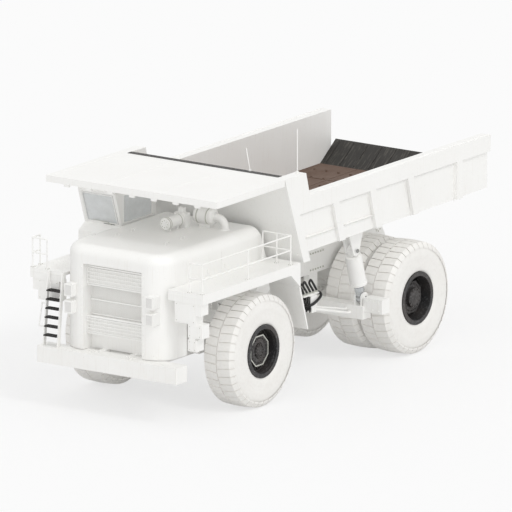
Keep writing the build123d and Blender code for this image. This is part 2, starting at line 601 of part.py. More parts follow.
for side_name, side in SIDES:
    with BuildPart() as deck:
        with BuildSketch(Plane.XY.offset(DECK_TOP - DECK_PLATE)):
            Polygon(*[(x, y_at(d)) for x, d in deck_plan(side)], align=None)
        extrude(amount=DECK_PLATE)
        skirt_top = DECK_TOP - DECK_PLATE
        side_plate([(DECK_D[0], skirt_top), (DECK_D[1], skirt_top), FENDER_SLOPE[1], FENDER_SLOPE[0],
                    (DECK_D[0], DECK_SKIRT_Z)], sided(side, HALF_WIDTH - SKIRT, HALF_WIDTH))
        block(sided(side, HOUSING_HALF, HALF_WIDTH - SKIRT), (DECK_D[0], DECK_D[0] + SKIRT),
              (DECK_SKIRT_Z, skirt_top))
        (slope_d, slope_z), (rear_d, rear_z), (foot_d, foot_z) = *FENDER_SLOPE, MUDGUARD_FOOT
        side_plate([(slope_d, slope_z), (rear_d, rear_z), (foot_d, foot_z), (foot_d + SKIRT, foot_z),
                    (rear_d + SKIRT, rear_z + SKIRT / 2), (slope_d + SKIRT, slope_z + SKIRT / 2)],
                   sided(side, *MUDGUARD_X))
        gusset_d = rear_d - 300
        side_plate([(gusset_d, skirt_top), (rear_d, skirt_top), (rear_d, rear_z), (gusset_d, slope_z - 170)],
                   sided(side, MUDGUARD_X[0], MUDGUARD_X[0] + SKIRT))
        for box_x, box_z in DECK_BOXES + (LEFT_BOXES if side > 0 else ()):
            block(sided(side, *box_x), DECK_BOX_D, box_z)
    save(deck.part, f"deck_{side_name}")


# ---- handrails and ladder --------------------------------------------------------------
def rail_run(points, posts):
    """Top and middle rails through (x, station) points on a deck, with upright posts."""
    for height in (RAIL_HEIGHT, RAIL_HEIGHT / 2):
        for a, b in zip(points, points[1:]):
            bar((*a, DECK_TOP + height), (*b, DECK_TOP + height), HANDRAIL_RADIUS)
    for post in posts:
        bar((*post, DECK_TOP), (*post, DECK_TOP + RAIL_HEIGHT), HANDRAIL_RADIUS)
        with Locations((post[0], y_at(post[1]), DECK_TOP + RAIL_HEIGHT)):
            Sphere(HANDRAIL_RADIUS)


with BuildPart() as handrails:
    inner, edge, front, middle, rear, end = LEFT_RAIL
    corners = [(inner, front), (edge, front), (edge, rear), (end, rear)]
    rail_run(corners, corners + [(edge, middle), ((edge + end) / 2, rear)])
    inner, edge, front, rear = RIGHT_RAIL
    corners = [(-inner, front), (-edge, front), (-edge, rear)]
    rail_run(corners, corners)
save(handrails.part, "handrails")

ladder_height = DECK_TOP - DECK_PLATE - BUMPER_Z[1]


def ladder_station(z):
    """Station of the ladder's middle line, which leans back to the deck's front edge."""
    return LADDER_FOOT + (z - BUMPER_Z[1]) / ladder_height * (DECK_D[0] - LADDER_FOOT - LADDER_STRINGER[1] / 2)


with BuildPart() as ladder:
    thick, deep = LADDER_STRINGER
    ladder_ends = [(ladder_station(z), z) for z in (BUMPER_Z[1], DECK_TOP)]
    stringer = [(ladder_ends[0][0] - deep / 2, ladder_ends[0][1]), (ladder_ends[0][0] + deep / 2, ladder_ends[0][1]),
                (ladder_ends[1][0] + deep / 2 - 20, ladder_ends[1][1]),
                (ladder_ends[1][0] - deep / 2, ladder_ends[1][1])]
    for x in (LADDER_X[0], LADDER_X[1] - thick):
        side_plate(stringer, sided(LADDER_SIDE, x, x + thick))
    grab_x = LADDER_SIDE * (LADDER_X[1] + LADDER_GRAB)
    grab_d = ladder_station(LADDER_GRAB_ZS[0]) + thick
    grab = [(grab_x, grab_d, LADDER_GRAB_ZS[0]), (grab_x, DECK_D[0] - 2 * HANDRAIL_RADIUS, LADDER_GRAB_ZS[1])]
    for point in grab:
        with Locations((point[0], y_at(point[1]), point[2])):
            Sphere(HANDRAIL_RADIUS)
    bar(*grab, HANDRAIL_RADIUS)
    for point in grab:
        bar(point, (LADDER_SIDE * (LADDER_X[1] - thick / 2), ladder_station(point[2]), point[2]), HANDRAIL_RADIUS)
save(ladder.part, "ladder")

with BuildPart() as ladder_treads:
    for index in range(LADDER_TREADS):
        z = LADDER_TREAD_Z + index * LADDER_PITCH
        middle = ladder_station(z)
        block(sided(LADDER_SIDE, LADDER_X[0] + thick, LADDER_X[1] - thick),
              (middle - LADDER_TREAD[0] / 2, middle + LADDER_TREAD[0] / 2), (z - LADDER_TREAD[1], z))
save(ladder_treads.part, "ladder_treads")


# ---- cab -------------------------------------------------------------------------------
def slope_point(share, depth):
    """Point on the windscreen's slope: share of the way up it, and depth inside its face."""
    run, rise = BROW[0] - SILL[0], BROW[1] - SILL[1]
    length = hypot(run, rise)
    return (SILL[0] + share * run + depth * rise / length, SILL[1] + share * rise - depth * run / length)


WINDOW_D = (3100, 4520)
WINDOW_Z = (5080, 5900)
PANE_SHARES = (0.05, 0.93)
PILLAR = 100
QUARTER_D = (DOOR_D[1] + 90, CAB_REAR - 130)
screen = [slope_point(PANE_SHARES[0], -40), slope_point(PANE_SHARES[1], -40),
          slope_point(PANE_SHARES[1], CAB_WALL + 40), slope_point(PANE_SHARES[0], CAB_WALL + 40)]
pane = [slope_point(share, depth) for share, depth in (
    (PANE_SHARES[0], 20), (PANE_SHARES[1], 20), (PANE_SHARES[1], 20 + GLASS), (PANE_SHARES[0], 20 + GLASS))]
screen_x = (CAB_X[0] + PILLAR, CAB_X[1] - PILLAR)
cab_outline = [(CAB_FRONT, DECK_TOP), (CAB_FRONT, CAB_LEDGE_Z), SILL, BROW, (BROW[0] + 90, CAB_ROOF_Z),
               (CAB_REAR, CAB_ROOF_Z), (CAB_REAR, DECK_TOP)]

with BuildPart() as cab_shell:
    side_plate(cab_outline, CAB_X)
    with BuildSketch(Plane.YZ.offset(CAB_X[0] + CAB_WALL)):
        Polygon(*[(y_at(d), z) for d, z in cab_outline], align=None)
        offset(amount=-CAB_WALL, kind=Kind.INTERSECTION)
    extrude(amount=CAB_X[1] - CAB_X[0] - 2 * CAB_WALL, mode=Mode.SUBTRACT)
    side_plate(screen, screen_x, Mode.SUBTRACT)
    block((CAB_X[1] - 2 * CAB_WALL, CAB_X[1] + 10), WINDOW_D, WINDOW_Z, Mode.SUBTRACT)
    block(screen_x, (CAB_REAR - 2 * CAB_WALL, CAB_REAR + 10), WINDOW_Z, Mode.SUBTRACT)
    outer_wall = (CAB_X[0] - 10, CAB_X[0] + 2 * CAB_WALL)
    block(outer_wall, QUARTER_D, DOOR_WINDOW_Z, Mode.SUBTRACT)
    block(outer_wall, DOOR_D, DOOR_Z, Mode.SUBTRACT)
    hinge_x = CAB_X[0] - HINGE_OFFSET
    for z in HINGE_ZS:
        bar((hinge_x, DOOR_D[0], z), (hinge_x, DOOR_D[0], z + HINGE_LENGTH), HINGE_RADIUS)
        block((hinge_x, CAB_X[0]), (DOOR_D[0] - 70, DOOR_D[0]), (z, z + HINGE_LENGTH))
save(cab_shell.part, "cab_shell")

with BuildPart() as cab_glass:
    mid_wall = (CAB_WALL - GLASS) / 2
    side_plate(pane, screen_x)
    block((CAB_X[1] - mid_wall - GLASS, CAB_X[1] - mid_wall), WINDOW_D, WINDOW_Z)
    block(screen_x, (CAB_REAR - mid_wall - GLASS, CAB_REAR - mid_wall), WINDOW_Z)
    block((CAB_X[0] + mid_wall, CAB_X[0] + mid_wall + GLASS), QUARTER_D, DOOR_WINDOW_Z)
save(cab_glass.part, "cab_glass")

door_panel_d = (DOOR_D[0] + MOVING_GAP, DOOR_D[1] - MOVING_GAP)
door_panel_z = (DOOR_Z[0] + MOVING_GAP, DOOR_Z[1] - MOVING_GAP)
door_window_d = (door_panel_d[0] + DOOR_FRAME, door_panel_d[1] - DOOR_FRAME)
with BuildPart() as cab_door:
    block((CAB_X[0], CAB_X[0] + CAB_WALL), door_panel_d, door_panel_z)
    block((CAB_X[0] - 10, CAB_X[0] + 2 * CAB_WALL), door_window_d, DOOR_WINDOW_Z, Mode.SUBTRACT)
    for z in HINGE_ZS:
        for low in (z - HINGE_LENGTH - SEAT_GAP, z + HINGE_LENGTH + SEAT_GAP):
            bar((hinge_x, DOOR_D[0], low), (hinge_x, DOOR_D[0], low + HINGE_LENGTH), HINGE_RADIUS)
            block((hinge_x, CAB_X[0]), (DOOR_D[0], door_panel_d[0] + 60), (low, low + HINGE_LENGTH))
    block((CAB_X[0] - 45, CAB_X[0]), (door_panel_d[1] - 70, door_panel_d[1] - 40), DOOR_PULL_Z)
save(cab_door.part, "cab_door")

with BuildPart() as door_glass:
    block((CAB_X[0] + mid_wall, CAB_X[0] + mid_wall + GLASS), door_window_d, DOOR_WINDOW_Z)
save(door_glass.part, "door_glass")

SEAT_X = sum(CAB_X) / 2
CAB_FLOOR = DECK_TOP + CAB_WALL
SEAT_HALF = 260
with BuildPart() as seat_base:
    block((SEAT_X - 190, SEAT_X + 190), (3860, 4230), (CAB_FLOOR, CAB_FLOOR + 330))
    fillet(seat_base.edges().filter_by(Axis.Z), 40)
save(seat_base.part, "seat_base")

with BuildPart() as driver_seat:
    cushion_z = (CAB_FLOOR + 330, CAB_FLOOR + 480)
    with BuildSketch(Plane.YZ.offset(SEAT_X - SEAT_HALF)) as seat_side:
        Polygon(*[(y_at(d), z) for d, z in (
            (3760, cushion_z[0]), (4310, cushion_z[0]), (4450, CAB_FLOOR + 1180), (4330, CAB_FLOOR + 1200),
            (4190, cushion_z[1]), (3760, cushion_z[1]))], align=None)
        fillet(seat_side.vertices(), 30)
    extrude(amount=2 * SEAT_HALF)
save(driver_seat.part, "driver_seat")

WHEEL_CENTRE = (SEAT_X, 3430, CAB_FLOOR + 790)
with BuildPart() as console:
    side_plate([(CAB_FRONT + CAB_WALL, CAB_FLOOR), (3000, CAB_FLOOR), (3120, CAB_FLOOR + 580),
                (3010, CAB_FLOOR + 740), (CAB_FRONT + CAB_WALL, CAB_FLOOR + 600)], (CAB_X[0] + 120, CAB_X[1] - 120))
    bar((SEAT_X, 3040, CAB_FLOOR + 480), WHEEL_CENTRE, 35)
    hub_plane = Plane(origin=(SEAT_X, y_at(WHEEL_CENTRE[1]), WHEEL_CENTRE[2]), z_dir=(0, 390, 310))
    with Locations(hub_plane):
        Torus(205, 17)
        Cylinder(50, 40)
        Box(410, 30, 14)
save(console.part, "driver_console")

# ---- equipment on the hood and decks ---------------------------------------------------
with BuildPart() as air_intake:
    x, station, z = AIR_CANISTER
    radius, length = AIR_CANISTER_SIZE
    bar(AIR_CANISTER, (x, station + length, z), radius)
    bar((x, station - 40, z), (x, station, z), radius * 0.7)
    for saddle in (station + 130, station + length - 190):
        block((x - 70, x + 70), (saddle, saddle + 60), (HOUSING_Z[1], z))
    block(*INTAKE_BOX)
    block(*INTAKE_CAP)
    fillet(air_intake.edges().filter_by(Axis.Z).sort_by(Axis.X)[:2], 60)
save(air_intake.part, "air_intake")

with BuildPart() as exhaust:
    low_x, high_x, station, z = MUFFLER
    disc((low_x, high_x), station, z, MUFFLER_RADIUS)
    fillet(exhaust.edges().filter_by(GeomType.CIRCLE), MUFFLER_ROUND)
    with BuildLine() as stack_line:
        Line((high_x - 40, y_at(station), z), (STACK_X - STACK_BEND, y_at(station), z))
        TangentArc((STACK_X - STACK_BEND, y_at(station), z), (STACK_X, y_at(station), z - STACK_BEND),
                   tangent=(1, 0, 0))
        Line((STACK_X, y_at(station), z - STACK_BEND), (STACK_X, y_at(station), HOUSING_Z[1]))
    with BuildSketch(Plane(origin=(high_x - 40, y_at(station), z), z_dir=(1, 0, 0))) as stack_section:
        Circle(STACK_RADIUS)
    sweep(stack_section.sketch, path=stack_line.wire())
    block((low_x + 150, high_x - 150), (station - 70, station + 70), (HOUSING_Z[1], z - MUFFLER_RADIUS / 2))
save(exhaust.part, "exhaust_pipe")

with BuildPart() as fuel_tank:
    x, front, rear, z = FUEL_TANK
    bar((x, front, z), (x, rear, z), FUEL_TANK_RADIUS)
    fillet(fuel_tank.edges().filter_by(GeomType.CIRCLE), 90)
    for saddle in (front + 250, rear - 410):
        block((x, -RAIL_X[1]), (saddle, saddle + 160), (RAIL_REAR_Z[0] - 260, RAIL_REAR_Z[0] - 100))
save(fuel_tank.part, "fuel_tank")

# steering and hoist valves on an arm from the left rail, with their hose loops and pipes
with BuildPart() as valve_rack:
    block((RAIL_X[1], VALVE_X + 130), VALVE_ARM_D, VALVE_ARM_Z)
    block((VALVE_X - 130, VALVE_X + 130), (VALVE_ARM_D[0] - 40, VALVE_ARM_D[1] + 40),
          (VALVE_ARM_Z[1], VALVE_ARM_Z[1] + 330))
    for x, front_z, rear_z in PIPE_RUNS:
        bar((x, VALVE_ARM_D[1] - 40, front_z), (x, OUTRIGGER_D[0] - 80, rear_z), PIPE_RADIUS)
        bar((x, OUTRIGGER_D[0] - 110, rear_z), (x, OUTRIGGER_D[0] - SEAT_GAP, rear_z), PIPE_RADIUS + 6)
save(valve_rack.part, "valve_rack")

with BuildPart() as hoses:
    top = VALVE_ARM_Z[1] + 330
    for index, station in enumerate((VALVE_ARM_D[0], sum(VALVE_ARM_D) / 2, VALVE_ARM_D[1])):
        low_x, high_x = VALVE_X - HOSE_BEND / 2, VALVE_X + HOSE_BEND / 2
        crown = top + 380 - 40 * index
        with BuildLine() as loop:
            Line((low_x, y_at(station), top), (low_x, y_at(station), crown))
            ThreePointArc((low_x, y_at(station), crown), (VALVE_X, y_at(station), crown + HOSE_BEND / 2),
                          (high_x, y_at(station), crown))
            Line((high_x, y_at(station), crown), (high_x, y_at(station), top))
        with BuildSketch(Plane.XY.offset(top)) as hose_section:
            with Locations((low_x, y_at(station))):
                Circle(HOSE_RADIUS)
        sweep(hose_section.sketch, path=loop.wire())
save(hoses.part, "hose_loops")

# ---- dump body -------------------------------------------------------------------------
floor_line = [FLOOR_FRONT, TAIL_START]


def floor_z(station):
    """Height of the body's inner floor."""
    (front_d, front_z), (rear_d, rear_z) = floor_line
    return front_z + (station - front_d) / (rear_d - front_d) * (rear_z - front_z)


def under_z(station):
    """Height of the floor's underside."""
    return floor_z(station) - FLOOR


def headboard_d(z):
    """Station of the headboard's front face at a height."""
    return FLOOR_FRONT[0] - (z - FLOOR_FRONT[1]) * BOARD_LEAN


def rib_foot(top_d, lean):
    """Station of a side rib's lower end, from its top under the side rail and its lean."""
    return top_d + lean * (SIDE_RAIL_Z[0] - under_z(top_d))


floor_slope = (TAIL_START[1] - FLOOR_FRONT[1]) / (TAIL_START[0] - FLOOR_FRONT[0])
toe_d = FLOOR_FRONT[0] + FLOOR * BOARD_LEAN / (1 + floor_slope * BOARD_LEAN)
floor_toe = (toe_d, under_z(toe_d))
with BuildPart() as body_floor:
    side_plate([floor_toe, FLOOR_FRONT, TAIL_START, (TAIL_START[0], under_z(TAIL_START[0]))],
               (-BODY_INNER, BODY_INNER))
save(body_floor.part, "body_floor")

with BuildPart() as tail_lip:
    side_plate([TAIL_START, (LENGTH, TAIL_TIP_Z), (LENGTH, TAIL_TIP_Z - FLOOR / 2),
                (TAIL_START[0] + 40, TAIL_START[1] - FLOOR), (TAIL_START[0], under_z(TAIL_START[0]))],
               (-BODY_INNER, BODY_INNER))
save(tail_lip.part, "tail_lip")

with BuildPart() as headboard:
    rim_under = CANOPY_TOP - CANOPY_DEPTH
    side_plate([FLOOR_FRONT, (FLOOR_FRONT[0] + WALL, floor_z(FLOOR_FRONT[0] + WALL)),
                (headboard_d(rim_under) + WALL, rim_under), (CANOPY_REAR, CANOPY_TOP),
                (headboard_d(CANOPY_TOP), CANOPY_TOP), (headboard_d(rim_under), rim_under)],
               (-BODY_INNER, BODY_INNER))
save(headboard.part, "headboard")

with BuildPart() as body_sides:
    for side_name, side in SIDES:
        side_plate([floor_toe, FLOOR_FRONT, (headboard_d(CANOPY_TOP), CANOPY_TOP),
                    (SHOULDER[0], CANOPY_TOP), (SHOULDER[1], SIDE_TOP), (WALL_END, SIDE_TOP),
                    (WALL_END, under_z(WALL_END)), (TAIL_START[0], under_z(TAIL_START[0]))],
                   sided(side, BODY_INNER, BODY_INNER + SIDE_WALL))
        rim = [(headboard_d(CANOPY_TOP), CANOPY_TOP), (SHOULDER[0], CANOPY_TOP), (SHOULDER[1], SIDE_TOP),
               (SHOULDER[1], SIDE_RAIL_Z[0]), (headboard_d(SIDE_RAIL_Z[0]), SIDE_RAIL_Z[0])]
        side_plate(rim, sided(side, BODY_INNER, BODY_OUTER))
        block(sided(side, BODY_INNER, BODY_OUTER), (SHOULDER[1], WALL_END), SIDE_RAIL_Z)
        rib_x = sided(side, BODY_INNER, BODY_OUTER)
        for top_d, lean in RIBS:
            foot_d = rib_foot(top_d, lean)
            side_plate([(top_d, SIDE_RAIL_Z[0]), (top_d + RIB_WIDTH, SIDE_RAIL_Z[0]),
                        (foot_d + RIB_WIDTH, under_z(foot_d)), (foot_d, under_z(foot_d))], rib_x)
        post_top = (headboard_d(SIDE_RAIL_Z[0]), SIDE_RAIL_Z[0])
        post_foot = (headboard_d(APRON_Z), APRON_Z)
        side_plate([post_top, (post_top[0] + POST_WIDTH, post_top[1]), (post_foot[0] + POST_WIDTH, post_foot[1]),
                    post_foot], rib_x)
        strips = [((post_top[0] + WALL, RIBS[-1][0] + WALL), SIDE_RAIL_Z[0] + STRIP_LAP, RAIL_HAUNCH)]
        for strip_d in STIFFENER_DS:
            strips.append((strip_d, STIFFENER_Z[1], STIFFENER_Z[1] - STIFFENER_Z[0]))
        for strip_d, top_z, height in strips:
            face = Plane(origin=(0, y_at(strip_d[1]), 0), x_dir=(1, 0, 0), z_dir=(0, -1, 0))
            inner_x, outer_x = sided(side, BODY_INNER + SIDE_WALL / 2, BODY_OUTER - STRIP_LAP)[::side]
            with BuildSketch(face) as haunch:
                Polygon((inner_x, top_z), (outer_x, top_z), (inner_x, top_z - height), align=None)
            extrude(haunch.sketch, amount=strip_d[1] - strip_d[0])
    side_plate([floor_toe, (toe_d + WALL, under_z(toe_d + WALL)), (post_foot[0] + WALL, APRON_Z), post_foot],
               (-BODY_INNER, BODY_INNER))
save(body_sides.part, "body_sides")

# roof over the cab: plate, box rims, deep front edge and stiffeners underneath
with BuildPart() as canopy:
    canopy_rear_d = headboard_d(CANOPY_TOP)
    plate_z = (CANOPY_TOP - CANOPY_PLATE, CANOPY_TOP)
    under = CANOPY_TOP - CANOPY_DEPTH
    block((-BODY_OUTER, BODY_OUTER), (CANOPY_FRONT, canopy_rear_d), plate_z)
    block((-BODY_OUTER, BODY_OUTER), (CANOPY_FRONT, CANOPY_FRONT + CANOPY_PLATE), (under, plate_z[0]))
    for side_name, side in SIDES:
        block(sided(side, BODY_INNER, BODY_OUTER), (CANOPY_FRONT, canopy_rear_d), (under, plate_z[0]))
    rib_count = int(BODY_INNER / CANOPY_RIB_PITCH)
    for index in range(-rib_count, rib_count + 1):
        middle = index * CANOPY_RIB_PITCH
        block((middle - CANOPY_RIB / 2, middle + CANOPY_RIB / 2), (CANOPY_FRONT + CANOPY_PLATE, canopy_rear_d),
              (under, plate_z[0]))
save(canopy.part, "canopy")

with BuildPart() as aerials:
    for x, station, height, lean in AERIALS:
        bar((x, station, CANOPY_TOP + 40), (x + lean, station, CANOPY_TOP + height), AERIAL_RADIUS)
        bar((x, station, CANOPY_TOP), (x, station, CANOPY_TOP + 60), 3 * AERIAL_RADIUS)
save(aerials.part, "aerials")

with BuildPart() as body_frame:
    beam_front, beam_rear = BEAM_D
    for side_name, side in SIDES:
        side_plate([(beam_front, BEAM_Z + 250), (beam_front + 600, BEAM_Z), (beam_rear, BEAM_Z),
                    (beam_rear, under_z(beam_rear)), (beam_front, under_z(beam_front))], sided(side, *RAIL_X))
        lug_x = sided(side, RAIL_X[0] + SEAT_GAP, RAIL_X[1] - SEAT_GAP)
        disc(lug_x, *PIVOT, PIVOT_EAR_RADIUS - 20)
        block(lug_x, (PIVOT[0] - 170, PIVOT[0] + 170), (PIVOT[1], BEAM_Z))
        for pad_d in PAD_DS:
            block(sided(side, *RAIL_X), (pad_d, pad_d + PAD_LENGTH), (RAIL_REAR_Z[1] + SEAT_GAP, BEAM_Z))
    for top_d, lean in RIBS:
        front_d = rib_foot(top_d, lean)
        rear_d = front_d + RIB_WIDTH
        side_plate([(front_d, under_z(front_d)), (rear_d, under_z(rear_d)), (rear_d, under_z(rear_d) - BOLSTER_DEPTH),
                    (front_d, under_z(front_d) - BOLSTER_DEPTH)], (-BOLSTER_HALF, BOLSTER_HALF))
    front_d, rear_d = HOIST_HEAD[0] - BRACKET_SPREAD, HOIST_HEAD[0] + BRACKET_SPREAD
    bracket = [(HOIST_HEAD[0] - EYE_RADIUS, HOIST_HEAD[1]), (HOIST_HEAD[0] + EYE_RADIUS, HOIST_HEAD[1]),
               (rear_d, under_z(rear_d)), (front_d, under_z(front_d))]
    play = EYE_HALF + HEAD_PLAY
    for side_name, side in SIDES:
        for low, high in ((-play - EAR_WIDTH, -play), (play, play + EAR_WIDTH)):
            ear = sided(side, HOIST_X + low, HOIST_X + high)
            side_plate(bracket, ear)
            disc(ear, *HOIST_HEAD, EYE_RADIUS)
save(body_frame.part, "body_frame")

# ---- hoists: rod foot on the outrigger, two stages and an inverted barrel ---------------
foot = Vector(0, y_at(HOIST_FOOT[0]), HOIST_FOOT[1])
head = Vector(0, y_at(HOIST_HEAD[0]), HOIST_HEAD[1])
hoist_length = (head - foot).length
hoist_tube_end = hoist_length - HOIST_TUBE_TOP
tube_starts = (HOIST_NECK, HOIST_COLLAR - 2 * HOIST_STEP, HOIST_COLLAR - HOIST_STEP, HOIST_COLLAR)
for side_name, side in SIDES:
    foot_plane = Plane(origin=(side * HOIST_X, foot.Y, foot.Z), x_dir=(1, 0, 0), z_dir=head - foot)
    for (tube_name, bore, outer), start in zip(HOIST_TUBES, tube_starts):
        with BuildPart() as tube:
            with BuildSketch(foot_plane.offset(start)):
                Circle(outer)
                if bore:
                    Circle(bore, mode=Mode.SUBTRACT)
            extrude(amount=hoist_tube_end - start)
            if tube_name == "rod":
                disc(sided(side, HOIST_X - EYE_HALF + SEAT_GAP, HOIST_X + EYE_HALF - SEAT_GAP),
                     *HOIST_FOOT, EYE_RADIUS - 20)
                with BuildSketch(foot_plane):
                    Rectangle(2 * EYE_HALF - 20, 230)
                extrude(amount=start)
            if tube_name == "barrel":
                with BuildSketch(foot_plane.offset(start)):
                    Circle(outer + 22)
                    Circle(outer, mode=Mode.SUBTRACT)
                extrude(amount=70)
                with BuildSketch(foot_plane.offset(hoist_tube_end)):
                    Circle(outer)
                extrude(amount=30)
                with BuildSketch(foot_plane.offset(hoist_tube_end)):
                    Rectangle(2 * EYE_HALF, 260)
                extrude(amount=HOIST_TUBE_TOP)
                disc(sided(side, HOIST_X - EYE_HALF, HOIST_X + EYE_HALF), *HOIST_HEAD, EYE_RADIUS - 20)
        save(tube.part, f"hoist_{tube_name}_{side_name}")
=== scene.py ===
"""Looks of a rigid mining dump truck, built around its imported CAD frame.

Every mesh is in metres in the frame's own axes: the truck faces -Y, its left side is +X
and +Z is up. Each sub-assembly is a class that builds its own pieces, and each finish is
a frozen dataclass that makes one procedural material.
"""
import json
import logging
import math
from collections.abc import Callable, Iterable
from dataclasses import dataclass, field
from enum import Enum
from functools import partial

import bmesh
import bpy
from mathutils import Matrix, Vector


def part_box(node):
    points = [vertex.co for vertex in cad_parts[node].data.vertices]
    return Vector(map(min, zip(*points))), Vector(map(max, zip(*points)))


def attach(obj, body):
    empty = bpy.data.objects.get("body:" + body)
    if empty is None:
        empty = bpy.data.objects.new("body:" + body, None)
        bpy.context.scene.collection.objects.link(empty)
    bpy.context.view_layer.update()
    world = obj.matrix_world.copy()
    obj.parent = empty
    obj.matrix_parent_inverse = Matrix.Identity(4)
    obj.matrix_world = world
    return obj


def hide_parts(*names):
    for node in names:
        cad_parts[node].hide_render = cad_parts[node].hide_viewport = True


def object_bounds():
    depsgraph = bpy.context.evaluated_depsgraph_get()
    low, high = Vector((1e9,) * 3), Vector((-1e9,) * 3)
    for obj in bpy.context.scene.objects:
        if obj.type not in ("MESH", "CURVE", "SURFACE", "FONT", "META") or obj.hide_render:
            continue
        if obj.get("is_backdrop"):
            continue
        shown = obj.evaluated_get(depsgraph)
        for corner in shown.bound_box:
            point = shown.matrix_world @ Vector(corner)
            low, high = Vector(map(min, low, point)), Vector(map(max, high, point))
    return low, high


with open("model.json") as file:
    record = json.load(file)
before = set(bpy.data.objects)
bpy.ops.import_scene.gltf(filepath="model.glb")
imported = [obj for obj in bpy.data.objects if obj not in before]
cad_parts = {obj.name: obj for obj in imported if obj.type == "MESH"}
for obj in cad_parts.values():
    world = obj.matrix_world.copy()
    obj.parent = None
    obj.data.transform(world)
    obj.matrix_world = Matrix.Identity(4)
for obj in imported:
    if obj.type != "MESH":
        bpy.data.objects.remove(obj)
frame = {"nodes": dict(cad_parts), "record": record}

LOG = logging.getLogger("dump_truck")
SIDES = (("left", 1.0), ("right", -1.0))
BOTH = (-1.0, 1.0)
WHITE = (1.0, 1.0, 1.0, 1.0)
ORIGIN = (0.0, 0.0, 0.0)
EVEN = (1.0, 1.0, 1.0)
SHARP = math.radians(35)
CORNER_RAYS = 6
Form, Piece, Material = bmesh.types.BMesh, bpy.types.Object, bpy.types.Material
Tree, Socket = bpy.types.NodeTree, bpy.types.NodeSocket
Pair, Point = tuple[float, float], tuple[float, float, float]


class Direction(Enum):
    """Axis that a bolt or a turned shape stands along, as a unit vector."""

    ACROSS = (1.0, 0.0, 0.0)
    ALONG = (0.0, 1.0, 0.0)
    UP = (0.0, 0.0, 1.0)


# ---- small tools -----------------------------------------------------------------------
def linear(code: str) -> tuple[float, float, float, float]:
    """Turn an sRGB hex colour into the linear value that a socket takes.

    Args:
        code: Colour such as "#e8e8e6".

    Returns:
        Linear red, green, blue and an alpha of 1.
    """
    channels = [int(code[i:i + 2], 16) / 255 for i in (1, 3, 5)]
    curve = [c / 12.92 if c <= 0.04045 else ((c + 0.055) / 1.055) ** 2.4 for c in channels]
    return (*curve, 1.0)


def add_node(tree: Tree, kind: str, links: dict | None = None, **settings: object) -> bpy.types.Node:
    """Add a node with its settings, socket values and incoming links.

    Args:
        tree: Node tree that takes the node.
        kind: Node type, such as "ShaderNodeTexNoise".
        links: Input socket name or index to an output socket or a plain value.
        **settings: Attributes of the node itself.

    Returns:
        The new node.
    """
    node = tree.nodes.new(kind)
    for name, value in settings.items():
        setattr(node, name, value)
    for name, value in (links or {}).items():
        if isinstance(value, Socket):
            tree.links.new(value, node.inputs[name])
        else:
            node.inputs[name].default_value = value
    return node


def blank_tree(owner: Material | bpy.types.World) -> Tree:
    """Give the emptied node tree of a material or world."""
    owner.use_nodes = True
    owner.node_tree.nodes.clear()
    return owner.node_tree


def seen_ray(tree: Tree) -> Socket:
    """Give 1 for rays that look (camera, glossy, transmission) and 0 for rays that light."""
    path = add_node(tree, "ShaderNodeLightPath").outputs
    seen = path["Is Camera Ray"]
    for name in ("Is Glossy Ray", "Is Transmission Ray"):
        seen = add_node(tree, "ShaderNodeMath", {0: seen, 1: path[name]}, operation="MAXIMUM").outputs[0]
    return seen


def link(name: str, data: bpy.types.ID) -> Piece:
    """Make an object at the origin from its data and link it to the scene."""
    made = bpy.data.objects.new(name, data)
    bpy.context.scene.collection.objects.link(made)
    return made


def look_along(thing: Piece, way: Vector) -> None:
    """Turn a camera or lamp so that it faces a direction."""
    thing.rotation_mode = "QUATERNION"
    thing.rotation_quaternion = way.to_track_quat("-Z", "Y")


def frozen(source: Piece) -> bpy.types.Mesh:
    """Copy an object's mesh as its modifiers leave it."""
    graph = bpy.context.evaluated_depsgraph_get()
    return bpy.data.meshes.new_from_object(source.evaluated_get(graph), depsgraph=graph)


def mesh_object(name: str, form: Form, smooth: bool = False) -> Piece:
    """Make a linked object at the origin from a bmesh, and free the bmesh.

    Args:
        name: Name of the piece.
        form: Geometry in the frame's axes, in metres.
        smooth: Shade faces smooth.

    Returns:
        The new object.
    """
    bmesh.ops.remove_doubles(form, verts=form.verts, dist=1e-6)
    bmesh.ops.recalc_face_normals(form, faces=form.faces)
    data = bpy.data.meshes.new(name)
    form.to_mesh(data)
    form.free()
    for polygon in data.polygons:
        polygon.use_smooth = smooth
    return link(name, data)


def dress(piece: Piece, material: Material) -> None:
    """Give a piece one material in its only slot."""
    piece.data.materials.clear()
    piece.data.materials.append(material)


def middle_of(node: str) -> Pair:
    """Give the Y and Z of a CAD node's middle."""
    low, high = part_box(node)
    return (low.y + high.y) / 2, (low.z + high.z) / 2


